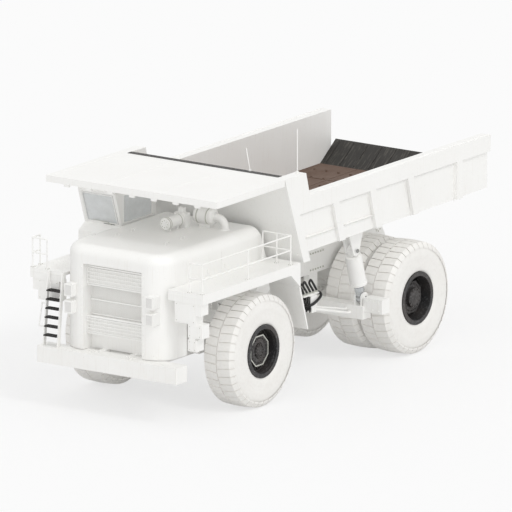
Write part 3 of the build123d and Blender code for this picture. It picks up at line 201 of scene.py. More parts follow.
# ---- finishes --------------------------------------------------------------------------
@dataclass
class Shading:
    """A new material with its Object coordinates, and the sums that finishes make.

    Attributes:
        name: Name of the material.
    """

    name: str

    def __post_init__(self) -> None:
        """Make the material, empty but for its coordinates."""
        self.material = bpy.data.materials.new(self.name)
        self.node = partial(add_node, blank_tree(self.material))
        self.place = self.node("ShaderNodeTexCoord").outputs["Object"]

    def close(self, values: dict) -> Material:
        """Feed a principled shader and give the finished material."""
        shader = self.node("ShaderNodeBsdfPrincipled", values)
        self.node("ShaderNodeOutputMaterial", {"Surface": shader.outputs[0]})
        return self.material

    def noise(self, size: float, detail: float = 3.0, stretch: Point = EVEN) -> Socket:
        """Add a noise whose features have a real size.

        Args:
            size: Size of a feature in metres.
            detail: Octaves of the noise.
            stretch: How much longer a feature is along each axis.

        Returns:
            Socket with the noise from 0 to 1.
        """
        place = self.place
        if stretch != EVEN:
            scale = tuple(1.0 / share for share in stretch)
            place = self.node("ShaderNodeMapping", {"Vector": place, "Scale": scale}).outputs[0]
        return self.node("ShaderNodeTexNoise", {"Vector": place, "Scale": 1.0 / size, "Detail": detail}).outputs[0]

    def ramp(self, value: Socket, low: float, high: float, top: float = 1.0) -> Socket:
        """Stretch a value's range from low to high onto 0 to top."""
        return self.node("ShaderNodeMapRange", {"Value": value, "From Min": low, "From Max": high,
                                                "To Max": top}).outputs[0]

    def corners(self, reach: float, low: float, high: float, top: float) -> Socket:
        """Give from 0 in the open to top in corners that a reach in metres finds, by ambient occlusion; finishes use it
        as the mask of painted shade.
        """
        shade = self.node("ShaderNodeAmbientOcclusion", {"Distance": reach}, samples=CORNER_RAYS).outputs["AO"]
        return self.ramp(shade, low, high, top)

    def mix(self, share: Socket, first: object, second: object) -> Socket:
        """Mix two colours, each a socket, a linear value or a hex code, by a share from 0 to 1."""
        first, second = (linear(colour) if isinstance(colour, str) else colour for colour in (first, second))
        return self.node("ShaderNodeMix", {"Factor": share, 6: first, 7: second}, data_type="RGBA").outputs[2]

    def times(self, first: Socket, second: Socket) -> Socket:
        """Multiply two values."""
        return self.node("ShaderNodeMath", {0: first, 1: second}, operation="MULTIPLY").outputs[0]


@dataclass(frozen=True)
class Finish:
    """A procedural material named for the real one, with its common settings.

    Attributes:
        name: Name of the material.
        base: Main colour.
        second: Colour of its patches.
        patch: Size of a patch in metres.
        roughness: Mean roughness.
        metallic: 1 for bare metal.
        grain: Size of the fine relief in metres.
        relief: Depth of the fine relief in metres.
    """

    name: str
    base: str
    second: str
    patch: float = 0.6
    roughness: float = 0.5
    metallic: float = 0.0
    grain: float = 0.02
    relief: float = 0.0006

    def build(self) -> Material:
        """Make the material.

        Returns:
            The new material.
        """
        nodes, spread = Shading(self.name), 0.07
        colour = nodes.mix(nodes.noise(self.patch, 4.0), self.base, self.second)
        gloss = nodes.node("ShaderNodeMapRange", {
            "Value": nodes.noise(self.patch * 0.3), "To Min": self.roughness - spread,
            "To Max": self.roughness + spread})
        bump = nodes.node("ShaderNodeBump", {"Height": self.surface(nodes), "Distance": self.relief})
        return nodes.close({"Base Color": self.wear(nodes, colour), "Metallic": self.metallic,
                            "Roughness": gloss.outputs[0], "Normal": bump.outputs[0]})

    def wear(self, nodes: Shading, colour: Socket) -> Socket:
        """Add what use and weather do to the colour; a plain finish has none."""
        return colour

    def surface(self, nodes: Shading) -> Socket:
        """Give the height of the fine relief at each place."""
        return nodes.noise(self.grain, 2.0)


@dataclass(frozen=True)
class PaintedSteel(Finish):
    """Sprayed enamel on plate: soft orange peel, dust low down, thin rain streaks and small chips."""

    dust: str = "#d6d0c6"
    dust_top: float = 2.6
    dust_share: float = 0.22
    chip_and_shade: str = "#a9a6a1"

    def wear(self, nodes: Shading, colour: Socket) -> Socket:
        """Lay dust near the ground, streaks down the walls, painted shade in the corners that partly stands for grime,
        and chips.
        """
        height = nodes.node("ShaderNodeSeparateXYZ", {"Vector": nodes.place}).outputs["Z"]
        low = nodes.ramp(height, self.dust_top, 0.3, self.dust_share)
        cloud = nodes.ramp(nodes.noise(0.45, 6.0), 0.35, 0.7)
        colour = nodes.mix(nodes.times(low, cloud), colour, self.dust)
        streak = nodes.noise(0.05, stretch=(1.0, 1.0, 16.0))
        colour = nodes.mix(nodes.ramp(streak, 0.56, 0.8, 0.22), colour, self.dust)
        # Painted shade: corners that the ambient occlusion finds take the chip colour, partly standing for grime.
        colour = nodes.mix(nodes.corners(0.22, 0.5, 0.05, 0.24), colour, self.chip_and_shade)
        return nodes.mix(nodes.ramp(nodes.noise(0.035, 5.0), 0.70, 0.74, 0.5), colour, self.chip_and_shade)


@dataclass(frozen=True)
class WornSteel(Finish):
    """Plate that rock slides over: rust, scuffs along the slide, and bright scratches."""

    rust: str = "#6b4a35"
    scratch: str = "#a59c92"
    slide: Point = (1.0, 12.0, 3.0)
    pale: float = 0.25

    def wear(self, nodes: Shading, colour: Socket) -> Socket:
        """Lay rust clouds, then long scratches in the direction in which the load slides, then painted shade in the
        corners.
        """
        colour = nodes.mix(nodes.ramp(nodes.noise(0.9, 8.0), 0.4, 0.68, 0.85), colour, self.rust)
        scuff = nodes.noise(0.06, 5.0, self.slide)
        colour = nodes.mix(nodes.ramp(scuff, 0.52, 0.75, self.pale), colour, self.scratch)
        # Painted shade: corners that the ambient occlusion finds are darkened towards near black.
        return nodes.mix(nodes.corners(0.3, 0.6, 0.1, 0.4), colour, "#241d19")


@dataclass(frozen=True)
class Rubber(Finish):
    """Moulded rubber under dust: matt, faintly mottled, with painted shade in its grooves that partly stands for dirt.
    """

    dirt_and_shade: str = "#c3bdb6"
    groove_shade_share: float = 0.3

    def wear(self, nodes: Shading, colour: Socket) -> Socket:
        """Darken the grooves with painted shade that partly stands for dirt, and mottle the rest."""
        colour = nodes.mix(nodes.ramp(nodes.noise(0.09, 7.0), 0.45, 0.75, 0.12), colour, self.dirt_and_shade)
        # Painted shade: grooves that the ambient occlusion finds take the dirt colour, partly standing for dirt.
        return nodes.mix(nodes.corners(0.12, 0.75, 0.2, self.groove_shade_share), colour, self.dirt_and_shade)


@dataclass(frozen=True)
class WovenCloth(Finish):
    """Woven seat cloth: threads drawn 6 mm apart, coarse enough to show."""

    thread: float = 0.006

    def surface(self, nodes: Shading) -> Socket:
        """Cross two sets of threads."""
        waves = {"Vector": nodes.place, "Scale": 1.0 / self.thread / 6.28, "Distortion": 1.0}
        return nodes.times(*(nodes.node("ShaderNodeTexWave", waves, bands_direction=way).outputs["Fac"]
                             for way in ("X", "Z")))


@dataclass(frozen=True)
class ClearGlass(Finish):
    """Laminated float glass with a faint tint: see-through, with a clean reflection."""

    def build(self) -> Material:
        """Make the glass.

        Returns:
            The new material.
        """
        nodes = Shading(self.name)
        film = nodes.noise(0.25, 5.0)
        return nodes.close({"Base Color": nodes.mix(film, self.base, self.second), "Roughness": self.roughness,
                            "IOR": 1.45, "Alpha": nodes.ramp(film, -1.6, 1.2, 0.9)})


# Each finish starts from the real surface; the comment says what the eye gets from it.
FINISHES = {
    # Sprayed enamel on plate: bright and soft, dusty low down, faintly streaked.
    "white_paint": PaintedSteel("sprayed_enamel", "#f2f2f0", "#edece9", 1.4, 0.42, grain=0.012, relief=0.0005),
    # Sand-cast iron under grey-white primer: a pitted skin that gathers dirt, with painted shade in its corners.
    "cast_metal": PaintedSteel("primed_cast_iron", "#dededb", "#cfcdc8", 0.5, 0.62, grain=0.006, relief=0.0022),
    # Moulded rubber bleached by pale dust: matt, mottled, darker in its grooves by painted shade.
    "tyre_rubber": Rubber("dusty_moulded_rubber", "#eeedea", "#e6e4e0", 0.8, 0.8, grain=0.018, relief=0.0016),
    # Rolled steel under worn charcoal paint: dull, with grey rubbed edges.
    "dark_rim": WornSteel("charcoal_painted_rim", "#2b2b2c", "#3b3b3c", 0.3, 0.5, 0.35, 0.01, 0.0009,
                          rust="#4a4542", scratch="#8c8c8d", slide=EVEN, pale=0.35),
    # Laminated float glass: pale grey tint, see-through with a clean shine.
    "window_glass": ClearGlass("laminated_float_glass", "#eef0f0", "#e6e9ea", 0.3, 0.06),
    # Hot-rolled steel with black oxide: nearly black, boots have rubbed its faces.
    "black_steel": WornSteel("black_oxide_steel", "#141414", "#1f1e1e", 0.2, 0.55, 0.2, 0.01, 0.0008,
                             rust="#221d1a", scratch="#4d4b48", slide=(4.0, 1.0, 1.0), pale=0.25),
    # Woven polyester over foam: warm grey threads that scatter light.
    "seat_cloth": WovenCloth("woven_polyester", "#45474b", "#3a3c40", 0.12, 0.88, grain=0.006, relief=0.0018),
    # Injection-moulded ABS: mid grey with a fine spark-eroded grain.
    "cab_plastic": Finish("moulded_abs", "#5c5d5f", "#535456", 0.2, 0.58, grain=0.005, relief=0.0008),
    # Braided hose under a rubber cover: black and slightly greasy.
    "hose_rubber": Finish("covered_hydraulic_hose", "#101010", "#191817", 0.1, 0.48, grain=0.012, relief=0.002),
    # Wear plate that rock slides over: brown rust with paler drag marks.
    "rusty_floor": WornSteel("rusted_wear_plate", "#6b574a", "#5f4a3e", 0.9, 0.66, 0.15, 0.02, 0.0016,
                             rust="#5a4334", scratch="#85746a"),
    # Quenched steel at the spout: near black, scoured to grey in long scratches.
    "dark_plate": WornSteel("scoured_quenched_steel", "#302f2d", "#3c3a36", 0.7, 0.48, 0.4, 0.02, 0.0014,
                            rust="#2a2724", scratch="#6e6a63", slide=(1.0, 9.0, 4.0), pale=0.5),
    # Hard chrome on ground rod: a mirror softened by a film of oil.
    "chrome_rod": Finish("hard_chrome", "#c9cbcc", "#b6b9bb", 0.4, 0.18, 1.0, 0.004, 0.0001),
    # Ground edge of rolled plate, painted charcoal: a dark, straight trim line.
    "edge_trim": WornSteel("charcoal_edge_strip", "#232323", "#2e2d2c", 0.3, 0.5, 0.1, 0.01, 0.0006,
                           rust="#35302c", scratch="#5b5956", slide=(6.0, 1.0, 1.0), pale=0.3),
    # Machined steel, lightly greased: pale grey with turning marks.
    "machined_steel": WornSteel("machined_steel", "#8f9092", "#7f8082", 0.15, 0.36, 0.8, 0.004, 0.0004,
                                rust="#6f6a66", scratch="#c2c3c4", slide=EVEN, pale=0.3),
    # Zinc-plated fastener: bright, faintly yellowed and spotted.
    "zinc_plate": Finish("zinc_plated_steel", "#cfcfc9", "#bfc0b6", 0.05, 0.36, 0.55, 0.004, 0.0003),
    # Pressed polycarbonate lens: clear and fluted over a bright bowl.
    "lamp_lens": Finish("pressed_polycarbonate", "#e4e3e1", "#d8d7d5", 0.08, 0.12, grain=0.02, relief=0.002),
}


# ---- mesh tools ------------------------------------------------------------------------
def skin(form: Form, rings: list[list], closed: bool = False) -> Form:
    """Join rings of points with faces.

    Args:
        form: Mesh that holds the points.
        rings: Rings of equally many points.
        closed: Join the last ring to the first; otherwise each end gets a cap.

    Returns:
        The same mesh.
    """
    if not closed:
        form.faces.new(rings[0])
        form.faces.new(rings[-1])
    for low, high in zip(rings, rings[1:] + rings[:1] if closed else rings[1:]):
        for index in range(len(low)):
            after = (index + 1) % len(low)
            form.faces.new((low[index], low[after], high[after], high[index]))
    return form


def box_into(form: Form, low: Point, high: Point, bevel: float = 0.0) -> Form:
    """Add a box between two corners, its edges broken by a bevel unless that is 0, and give the mesh back."""
    size = Vector(high) - Vector(low)
    place = Matrix.Translation((Vector(high) + Vector(low)) / 2) @ Matrix.Diagonal((*size, 1.0))
    made = bmesh.ops.create_cube(form, size=1.0, matrix=place)["verts"]
    if bevel:
        edges = list({edge for vertex in made for edge in vertex.link_edges})
        bmesh.ops.bevel(form, geom=edges, offset=bevel, segments=2, affect="EDGES", profile=0.6)
    return form


def ring_frame(along: Vector) -> tuple[Vector, Vector]:
    """Give two unit vectors square to a direction and to each other."""
    guide = Vector((0.0, 0.0, 1.0)) if abs(along.z) < 0.9 else Vector((1.0, 0.0, 0.0))
    first = along.cross(guide).normalized()
    return first, along.cross(first).normalized()


def ring_into(form: Form, middle: Vector, first: Vector, second: Vector, radius: float, sides: int) -> list:
    """Add a ring of points, counted from the first direction towards the second."""
    turns = [math.tau * step / sides for step in range(sides)]
    return [form.verts.new(middle + (first * math.cos(turn) + second * math.sin(turn)) * radius) for turn in turns]


def path_into(form: Form, points: list[Point], radii: float | list[float], sides: int = 16) -> Form:
    """Add a closed tube whose rings follow a path.

    Args:
        form: Mesh that takes the tube.
        points: Middle of each ring.
        radii: One radius, or one for each ring.
        sides: Points in a ring.

    Returns:
        The same mesh.
    """
    places = [Vector(point) for point in points]
    sizes = radii if isinstance(radii, list) else [radii] * len(places)
    rings, first = [], None
    for index, place in enumerate(places):
        along = (places[min(index + 1, len(places) - 1)] - places[max(index - 1, 0)]).normalized()
        if first is None:
            first, second = ring_frame(along)
        else:
            first = (first - along * first.dot(along)).normalized()
            second = along.cross(first).normalized()
        rings.append(ring_into(form, place, first, second, sizes[index], sides))
    return skin(form, rings)


def loop_into(form: Form, corners: list[Point], radius: float) -> Form:
    """Add a thin tube along each side of a closed outline."""
    for first, second in zip(corners, corners[1:] + corners[:1]):
        path_into(form, [first, second], radius, 8)
    return form


def weld_into(form: Form, start: Point, stop: Point, size: float = 0.011) -> Form:
    """Add a rippled weld bead between two points."""
    first, last = Vector(start), Vector(stop)
    count = max(2, int((last - first).length / 0.035))
    points = [tuple(first.lerp(last, step / count)) for step in range(count + 1)]
    return path_into(form, points, [size * (1.0 if step % 2 else 0.8) for step in range(count + 1)], 6)


def curve_points(knots: list[Point], steps: int = 6) -> list[Point]:
    """Give points on a smooth curve through the knots."""
    places = [Vector(knots[0])] + [Vector(knot) for knot in knots] + [Vector(knots[-1])]
    points = []
    for before, start, stop, after in zip(places, places[1:], places[2:], places[3:]):
        for step in range(steps):
            t = step / steps
            points.append(tuple(0.5 * (2 * start + (stop - before) * t
                                       + (2 * before - 5 * start + 4 * stop - after) * t * t
                                       + (3 * start - before - 3 * stop + after) * t ** 3)))
    return points + [tuple(places[-1])]


def turn_into(form: Form, profile: list[Pair], centre: Point, along: Point, first: Point, second: Point,
              steps: int) -> Form:
    """Turn a closed profile round a line.

    Args:
        form: Mesh that takes the turned body.
        profile: Points as (distance along the line, radius).
        centre: Point on the line.
        along: Direction of the line.
        first: Direction square to the line in which the turn starts.
        second: Direction square to the line towards which it goes on.
        steps: Facets round the line.

    Returns:
        The same mesh.
    """
    rings = []
    for step in range(steps):
        turn = math.tau * step / steps
        out = [a * math.cos(turn) + b * math.sin(turn) for a, b in zip(first, second)]
        rings.append([form.verts.new([c + a * far + o * radius for c, a, o in zip(centre, along, out)])
                      for far, radius in profile])
    return skin(form, rings, closed=True)


def lathe_into(form: Form, profile: list[Pair], centre: Point, way: float = 1.0, steps: int = 96) -> Form:
    """Turn a closed profile of (outward along X, radius) round a line along X; outward is -X where way is -1."""
    return turn_into(form, profile, centre, (way, 0.0, 0.0), Direction.UP.value, Direction.ALONG.value, steps)


def strap_into(form: Form, centre: Point, radius: float, proud: float, half: float) -> Form:
    """Strap a drum that lies along the truck; the strap stands proud by one measure, half as wide as another."""
    profile = [(-half, radius - 0.002), (-half, radius + proud), (half, radius + proud), (half, radius - 0.002)]
    return turn_into(form, profile, centre, Direction.ALONG.value, Direction.ACROSS.value, Direction.UP.value, 48)


def plate_into(form: Form, outline: list[Point], depth: Point) -> Form:
    """Add a flat plate: an outline and the vector that gives it its thickness."""
    low = [form.verts.new(point) for point in outline]
    return skin(form, [low, [form.verts.new(Vector(point) + Vector(depth)) for point in outline]])


def bolt_into(form: Form, seat: Point, way: Direction, out: float, size: float) -> Form:
    """Add a hexagon bolt head on its washer.

    Args:
        form: Mesh that takes the bolt.
        seat: Middle of the face it is tightened against.
        way: Axis of the bolt.
        out: 1 or -1, the side of the seat on which the head stands.
        size: Width of the head over its corners.

    Returns:
        The same mesh.
    """
    axis = Vector(way.value) * out
    first, second = ring_frame(axis)
    for sides, radius, low, high in ((12, size * 0.72, 0.0, size * 0.12), (6, size / 2, size * 0.12, size * 0.6)):
        skin(form, [ring_into(form, Vector(seat) + axis * height, first, second, radius, sides)
                    for height in (low, high)])
    return form


@dataclass(frozen=True)
class Pattern:
    """Rows of one repeated shape, made by a Geometry Nodes tree.

    Attributes:
        count: Shapes in a row.
        step: Move from one to the next.
        turn: Turn from one to the next, in radians round each axis through start.
        start: Place of the first; the shape is drawn around the origin.
        rows: Number of rows.
        row_step: Move from row to row.
        jitter: Largest random share by which a shape grows or shrinks.
        seed: Seed of that randomness.
    """

    count: int
    step: Point = ORIGIN
    turn: Point = ORIGIN
    start: Point = ORIGIN
    rows: int = 1
    row_step: Point = ORIGIN
    jitter: float = 0.0
    seed: int = 3

    def tree(self) -> Tree:
        """Build the node tree with its named inputs.

        Returns:
            The new tree.
        """
        tree = bpy.data.node_groups.new("repeated_pieces", "GeometryNodeTree")
        for name, kind in (("Shape", "Object"), ("Count", "Int"), ("Start", "Vector"), ("Step", "Vector"),
                           ("Turn", "Vector"), ("Rows", "Int"), ("Row Step", "Vector"), ("Jitter", "Float"),
                           ("Seed", "Int"), ("Finish", "Material")):
            tree.interface.new_socket(name, in_out="INPUT", socket_type=f"NodeSocket{kind}")
        tree.interface.new_socket("Geometry", in_out="OUTPUT", socket_type="NodeSocketGeometry")
        node = partial(add_node, tree)
        given = node("NodeGroupInput").outputs
        row = node("GeometryNodeMeshLine", {
            "Count": given["Count"], "Start Location": given["Start"], "Offset": given["Step"]})
        rows = node("GeometryNodeMeshLine", {"Count": given["Rows"], "Offset": given["Row Step"]})
        order = node("GeometryNodeInputIndex")
        kept = node("GeometryNodeStoreNamedAttribute", {
            "Geometry": row.outputs[0], "Name": "order", "Value": order.outputs[0]}, data_type="INT")
        spread = node("GeometryNodeInstanceOnPoints", {"Points": rows.outputs[0], "Instance": kept.outputs[0]})
        points = node("GeometryNodeRealizeInstances", {"Geometry": spread.outputs[0]})
        number = node("GeometryNodeInputNamedAttribute", {"Name": "order"}, data_type="INT").outputs["Attribute"]
        angle = node("ShaderNodeVectorMath", {0: given["Turn"], "Scale": number}, operation="SCALE")
        least, most = (node("ShaderNodeMath", {0: 1.0, 1: given["Jitter"]}, operation=kind).outputs[0]
                       for kind in ("SUBTRACT", "ADD"))
        size = node("FunctionNodeRandomValue", {"Seed": given["Seed"], 2: least, 3: most}, data_type="FLOAT")
        shape = node("GeometryNodeObjectInfo", {"Object": given["Shape"]}, transform_space="ORIGINAL")
        turn = node("FunctionNodeEulerToRotation", {0: angle.outputs[0]})
        placed = node("GeometryNodeInstanceOnPoints", {
            "Points": points.outputs[0], "Instance": shape.outputs["Geometry"], "Rotation": turn.outputs[0],
            "Scale": size.outputs[1]})
        real = node("GeometryNodeRealizeInstances", {"Geometry": placed.outputs[0]})
        done = node("GeometryNodeSetMaterial", {"Geometry": real.outputs[0], "Material": given["Finish"]})
        node("NodeGroupOutput", {"Geometry": done.outputs[0]})
        return tree

    def make(self, name: str, form: Form, material: Material) -> Piece:
        """Repeat a shape and keep the result as a plain mesh.

        Args:
            name: Name of the finished piece.
            form: Shape around the origin.
            material: Finish of the piece.

        Returns:
            The finished piece, with no modifier on it.
        """
        shape = mesh_object(f"{name}_shape", form)
        holder = link(f"{name}_rows", bpy.data.meshes.new(f"{name}_rows"))
        modifier = holder.modifiers.new("rows", "NODES")
        modifier.node_group = self.tree()
        values = {"Shape": shape, "Count": self.count, "Start": self.start, "Step": self.step,
                  "Turn": self.turn, "Rows": self.rows, "Row Step": self.row_step, "Jitter": self.jitter,
                  "Seed": self.seed, "Finish": material}
        for item in modifier.node_group.interface.items_tree:
            if item.in_out == "INPUT":
                modifier[item.identifier] = values[item.name]
        data = frozen(holder)
        for spare in (holder, shape):
            bpy.data.objects.remove(spare)
        if "order" in data.attributes:
            data.attributes.remove(data.attributes["order"])
        made = link(name, data)
        dress(made, material)
        return made


def circle(count: int, start: Point) -> Pattern:
    """Give the pattern of a full circle of shapes round a line along X through start."""
    return Pattern(count, turn=(math.tau / count, 0.0, 0.0), start=start)


# ---- studio ----------------------------------------------------------------------------
@dataclass
class Studio:
    """Plain pale floor, soft light and the camera.

    Attributes:
        azimuth: Camera's turn from the front towards the left side, in degrees.
        elevation: Camera's height above the horizon, in degrees.
        aim: Point in the middle of the view.
        lens: Focal length in mm; long, so that the view is nearly parallel.
        distance: From the aim to the camera.
        sun: Direction in which the sunlight travels.
        fill: Direction in which the fill light travels.
        softness: Width of either light in degrees.
        sky: Strength of the sky where it lights.
        floor: Half width and height of the floor.
        glow: Share of white in the floor where it is seen.
    """

    azimuth: float = 35.0
    elevation: float = 13.6
    aim: Point = (-0.137, 0.0, 3.33)
    lens: float = 1500.0
    distance: float = 631.3
    sun: Point = (-0.8, 0.22, -0.85)
    fill: Point = (-0.45, 0.5, -0.74)
    softness: float = 14.0
    sky: float = 0.78
    floor: Pair = (900.0, -0.003)
    glow: float = 0.55

    def build(self) -> None:
        """Set up the whole studio."""
        self.place_camera()
        self.light()
        self.lay_floor()
        bpy.context.scene.view_settings.view_transform = "Standard"

    def place_camera(self) -> None:
        """Add the camera and make it the scene's."""
        turn, rise = math.radians(self.azimuth), math.radians(self.elevation)
        back = Vector((math.sin(turn) * math.cos(rise), -math.cos(turn) * math.cos(rise), math.sin(rise)))
        data = bpy.data.cameras.new("studio_camera")
        data.lens, data.sensor_width, data.clip_start, data.clip_end = self.lens, 36.0, 1.0, 2000.0
        camera = link("studio_camera", data)
        camera.location = Vector(self.aim) + back * self.distance
        look_along(camera, -back)
        bpy.context.scene.camera = camera

    def light(self) -> None:
        """Light the truck from a pale sky, a broad soft sun and a shadowless fill; the camera sees a white sky."""
        world = bpy.data.worlds.new("pale_sky")
        bpy.context.scene.world = world
        tree = blank_tree(world)
        strength = add_node(tree, "ShaderNodeMapRange", {"Value": seen_ray(tree), "To Min": self.sky, "To Max": 1.0})
        sky = add_node(tree, "ShaderNodeBackground", {"Color": WHITE, "Strength": strength.outputs[0]})
        add_node(tree, "ShaderNodeOutputWorld", {"Surface": sky.outputs[0]})
        for name, energy, way, shadow in (("soft_sun", 0.5, self.sun, True), ("soft_fill", 0.75, self.fill, False)):
            data = bpy.data.lights.new(name, "SUN")
            data.energy, data.angle, data.use_shadow = energy, math.radians(self.softness), shadow
            look_along(link(name, data), Vector(way))

    def lay_floor(self) -> None:
        """Lay a wide floor that reads as white and keeps the truck's shadow."""
        half, height = self.floor
        form = bmesh.new()
        form.faces.new([form.verts.new((x * half, y * half, height)) for x, y in ((-1, -1), (1, -1), (1, 1), (-1, 1))])
        floor = mesh_object("studio_floor", form)
        material = bpy.data.materials.new("matt_white_floor")
        node = partial(add_node, blank_tree(material))
        shade = node("ShaderNodeBsdfDiffuse", {"Color": (0.86, 0.86, 0.86, 1.0)})
        glow = node("ShaderNodeEmission", {"Color": WHITE, "Strength": 1.0})
        share = node("ShaderNodeMath", {0: seen_ray(material.node_tree), 1: self.glow}, operation="MULTIPLY")
        lit = node("ShaderNodeMixShader", {0: share.outputs[0], 1: shade.outputs[0], 2: glow.outputs[0]})
        node("ShaderNodeOutputMaterial", {"Surface": lit.outputs[0]})
        dress(floor, material)
        floor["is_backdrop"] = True


# ---- common to all sub-assemblies ------------------------------------------------------
@dataclass
class SubAssembly:
    """Pieces that are built, dressed and fitted together.

    Attributes:
        finishes: Materials by name of slot or trim.
        body: Body that a piece rides on unless another is named.
        made: Pieces built so far.
    """

    finishes: dict[str, Material]
    body: str = "chassis"
    made: list[Piece] = field(default_factory=list)

    SLOT_OF = {"edge_trim": "dark_plate", "machined_steel": "cast_metal", "zinc_plate": "chrome_rod",
               "lamp_lens": "window_glass"}

    def fit(self, piece: Piece, finish: str, body: str = "", replaces: tuple[str, ...] = ()) -> None:
        """Dress a finished piece and fix it to a body.

        Args:
            piece: Mesh object at the origin.
            finish: Name of its finish.
            body: Body it rides on; the sub-assembly's own when empty.
            replaces: CAD nodes it stands for.
        """
        dress(piece, self.finishes[finish])
        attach(piece, body or self.body)
        if replaces:
            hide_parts(*replaces)
        self.made.append(piece)
        LOG.info("%s: %d faces, %s", piece.name, len(piece.data.polygons), finish)

    def add(self, name: str, form: Form, finish: str = "white_paint", body: str = "",
            replaces: tuple[str, ...] = (), smooth: bool = False) -> None:
        """Turn a bmesh into a dressed piece on a body.

        Args:
            name: Name of the piece.
            form: Geometry in the frame's axes.
            finish: Name of its finish.
            body: Body it rides on; the sub-assembly's own when empty.
            replaces: CAD nodes it stands for.
            smooth: Shade it smooth, apart from its sharp edges.
        """
        piece = mesh_object(name, form, smooth)
        if smooth:
            piece.data.set_sharp_from_angle(angle=SHARP)
        self.fit(piece, finish, body, replaces)

    def shapes(self, name: str, draw: Callable, rows: Iterable[tuple], finish: str = "white_paint", body: str = "",
               replaces: tuple[str, ...] = (), smooth: bool = False) -> None:
        """Add a piece of several shapes, drawn by one mesh tool with a row of values for each."""
        form = bmesh.new()
        for row in rows:
            draw(form, *row)
        self.add(name, form, finish, body, replaces, smooth)

    def tubes(self, name: str, *runs: tuple, finish: str = "white_paint", body: str = "") -> None:
        """Add a smooth piece of tubes, each run holding its points, radii and sides."""
        self.shapes(name, path_into, runs, finish, body, smooth=True)

    def repeat(self, name: str, form: Form, pattern: Pattern, finish: str = "white_paint", body: str = "") -> None:
        """Repeat a shape in a pattern and fix the result to a body."""
        self.fit(pattern.make(name, form, self.finishes[finish]), finish, body)

    def tile(self, name: str, low: Point, high: Point, bevel: float, pattern: Pattern, finish: str = "white_paint",
             body: str = "") -> None:
        """Repeat a box in a pattern."""
        self.repeat(name, box_into(bmesh.new(), low, high, bevel), pattern, finish, body)

    def bolt(self, name: str, seat: Point, way: Direction, out: float, size: float, pattern: Pattern,
             finish: str = "white_paint", body: str = "") -> None:
        """Repeat a bolt in a pattern."""
        self.repeat(name, bolt_into(bmesh.new(), seat, way, out, size), pattern, finish, body)

    def build(self) -> None:
        """Build every piece of the sub-assembly."""
        raise NotImplementedError


# ---- wheels ----------------------------------------------------------------------------
@dataclass
class HaulTyre(SubAssembly):
    """Carcasses and tread lugs of one axle end; the pair on the rear axle is one body.

    Attributes:
        node: CAD node that the tyres stand for.
        centres: Distance of each tyre's middle from the truck's middle line.
        way: 1 on the left side and -1 on the right.
        crown: Half width of the tread.
        drop: Fall of the tread from its middle to its shoulder.
        groove: Depth of the tread's grooves.
        lugs: Lugs round either shoulder.
        bead: Half width at the rim, inner radius and flange radius.
    """

    node: str = ""
    centres: tuple[float, ...] = (2.5,)
    way: float = 1.0
    crown: float = 0.44
    drop: float = 0.022
    groove: float = 0.028
    lugs: int = 40
    bead: Point = (0.48, 0.7243, 0.80)

    def build(self) -> None:
        """Build the carcasses with their moulded sidewall rings, then the lugs."""
        low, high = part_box(self.node)
        radius, place = (high.z - low.z) / 2, middle_of(self.node)
        half = (high.x - low.x - (max(self.centres) - min(self.centres))) / 2 - 0.002
        self.shapes(f"{self.node}_carcass", lathe_into, [
            (self.section(radius, half), (self.way * across, *place), self.way, 128) for across in self.centres],
            "tyre_rubber", replaces=(self.node,), smooth=True)
        turn = -math.tau / self.lugs
        for number, across in enumerate(self.centres):
            pattern = Pattern(self.lugs, turn=(turn, 0.0, 0.0), start=(self.way * across, *place))
            for label, hand, offset in (("outer", 1.0, 0.5), ("inner", -1.0, 0.0)):
                self.repeat(f"{self.node}_lugs_{number}_{label}", self.lug(radius, hand, offset * turn), pattern,
                            "tyre_rubber")

    def section(self, radius: float, half: float) -> list[Pair]:
        """Outline of the carcass from the crown round both sidewalls, with its moulded rings."""
        bead_x, bore, flange = self.bead
        shoulder, widest_span, points = radius - 0.222, 1.24, 12
        wall = [(self.crown * 0.5, radius - self.drop * 0.3 - self.groove),
                (self.crown - 0.01, radius - self.drop - self.groove),
                (half - 0.05, radius - self.drop - 0.13), (half - 0.026, radius - self.drop - 0.2)]
        for step in range(1, points):
            place = shoulder + (flange + 0.03 - shoulder) * step / points
            swell = math.sin(math.pi * min(1.0, max(0.0, (place - 0.62) / widest_span))) ** 0.5
            ring = 0.008 if step in (3, 4, 9) else 0.0
            wall.append((min(half - 0.001, half - 0.07 + 0.062 * swell + ring), place))
        wall += [(bead_x + 0.016, flange + 0.012), (bead_x, flange), (bead_x, bore)]
        return [(0.0, radius - self.groove)] + wall + [(-x, r) for x, r in reversed(wall)]

    def lug(self, radius: float, hand: float, offset: float) -> Form:
        """One tread lug, from beside the middle groove to over the shoulder."""
        form = bmesh.new()
        pitch, rings = math.tau / self.lugs, []
        for out, skew, trim, top in ((0.013, 0.0, 0.05, 0.0), (0.2, 0.15, 0.04, self.drop * 0.25),
                                     (self.crown - 0.035, 0.3, 0.02, self.drop * 0.85),
                                     (self.crown, 0.3, 0.02, self.drop), (0.535, 0.3, 0.02, 0.15)):
            ring, spread = [], pitch * (0.46 - trim * 0.5)
            for angle, height in ((-spread, 0.0), (0.0, 0.0), (spread, 0.0), (spread, 1.0), (-spread, 1.0)):
                turn = offset + skew * pitch * 0.5 + angle
                reach = radius - top - height * (self.groove + 0.02)
                ring.append(form.verts.new((self.way * hand * out, reach * math.sin(turn), reach * math.cos(turn))))
            rings.append(ring)
        return skin(form, rings)


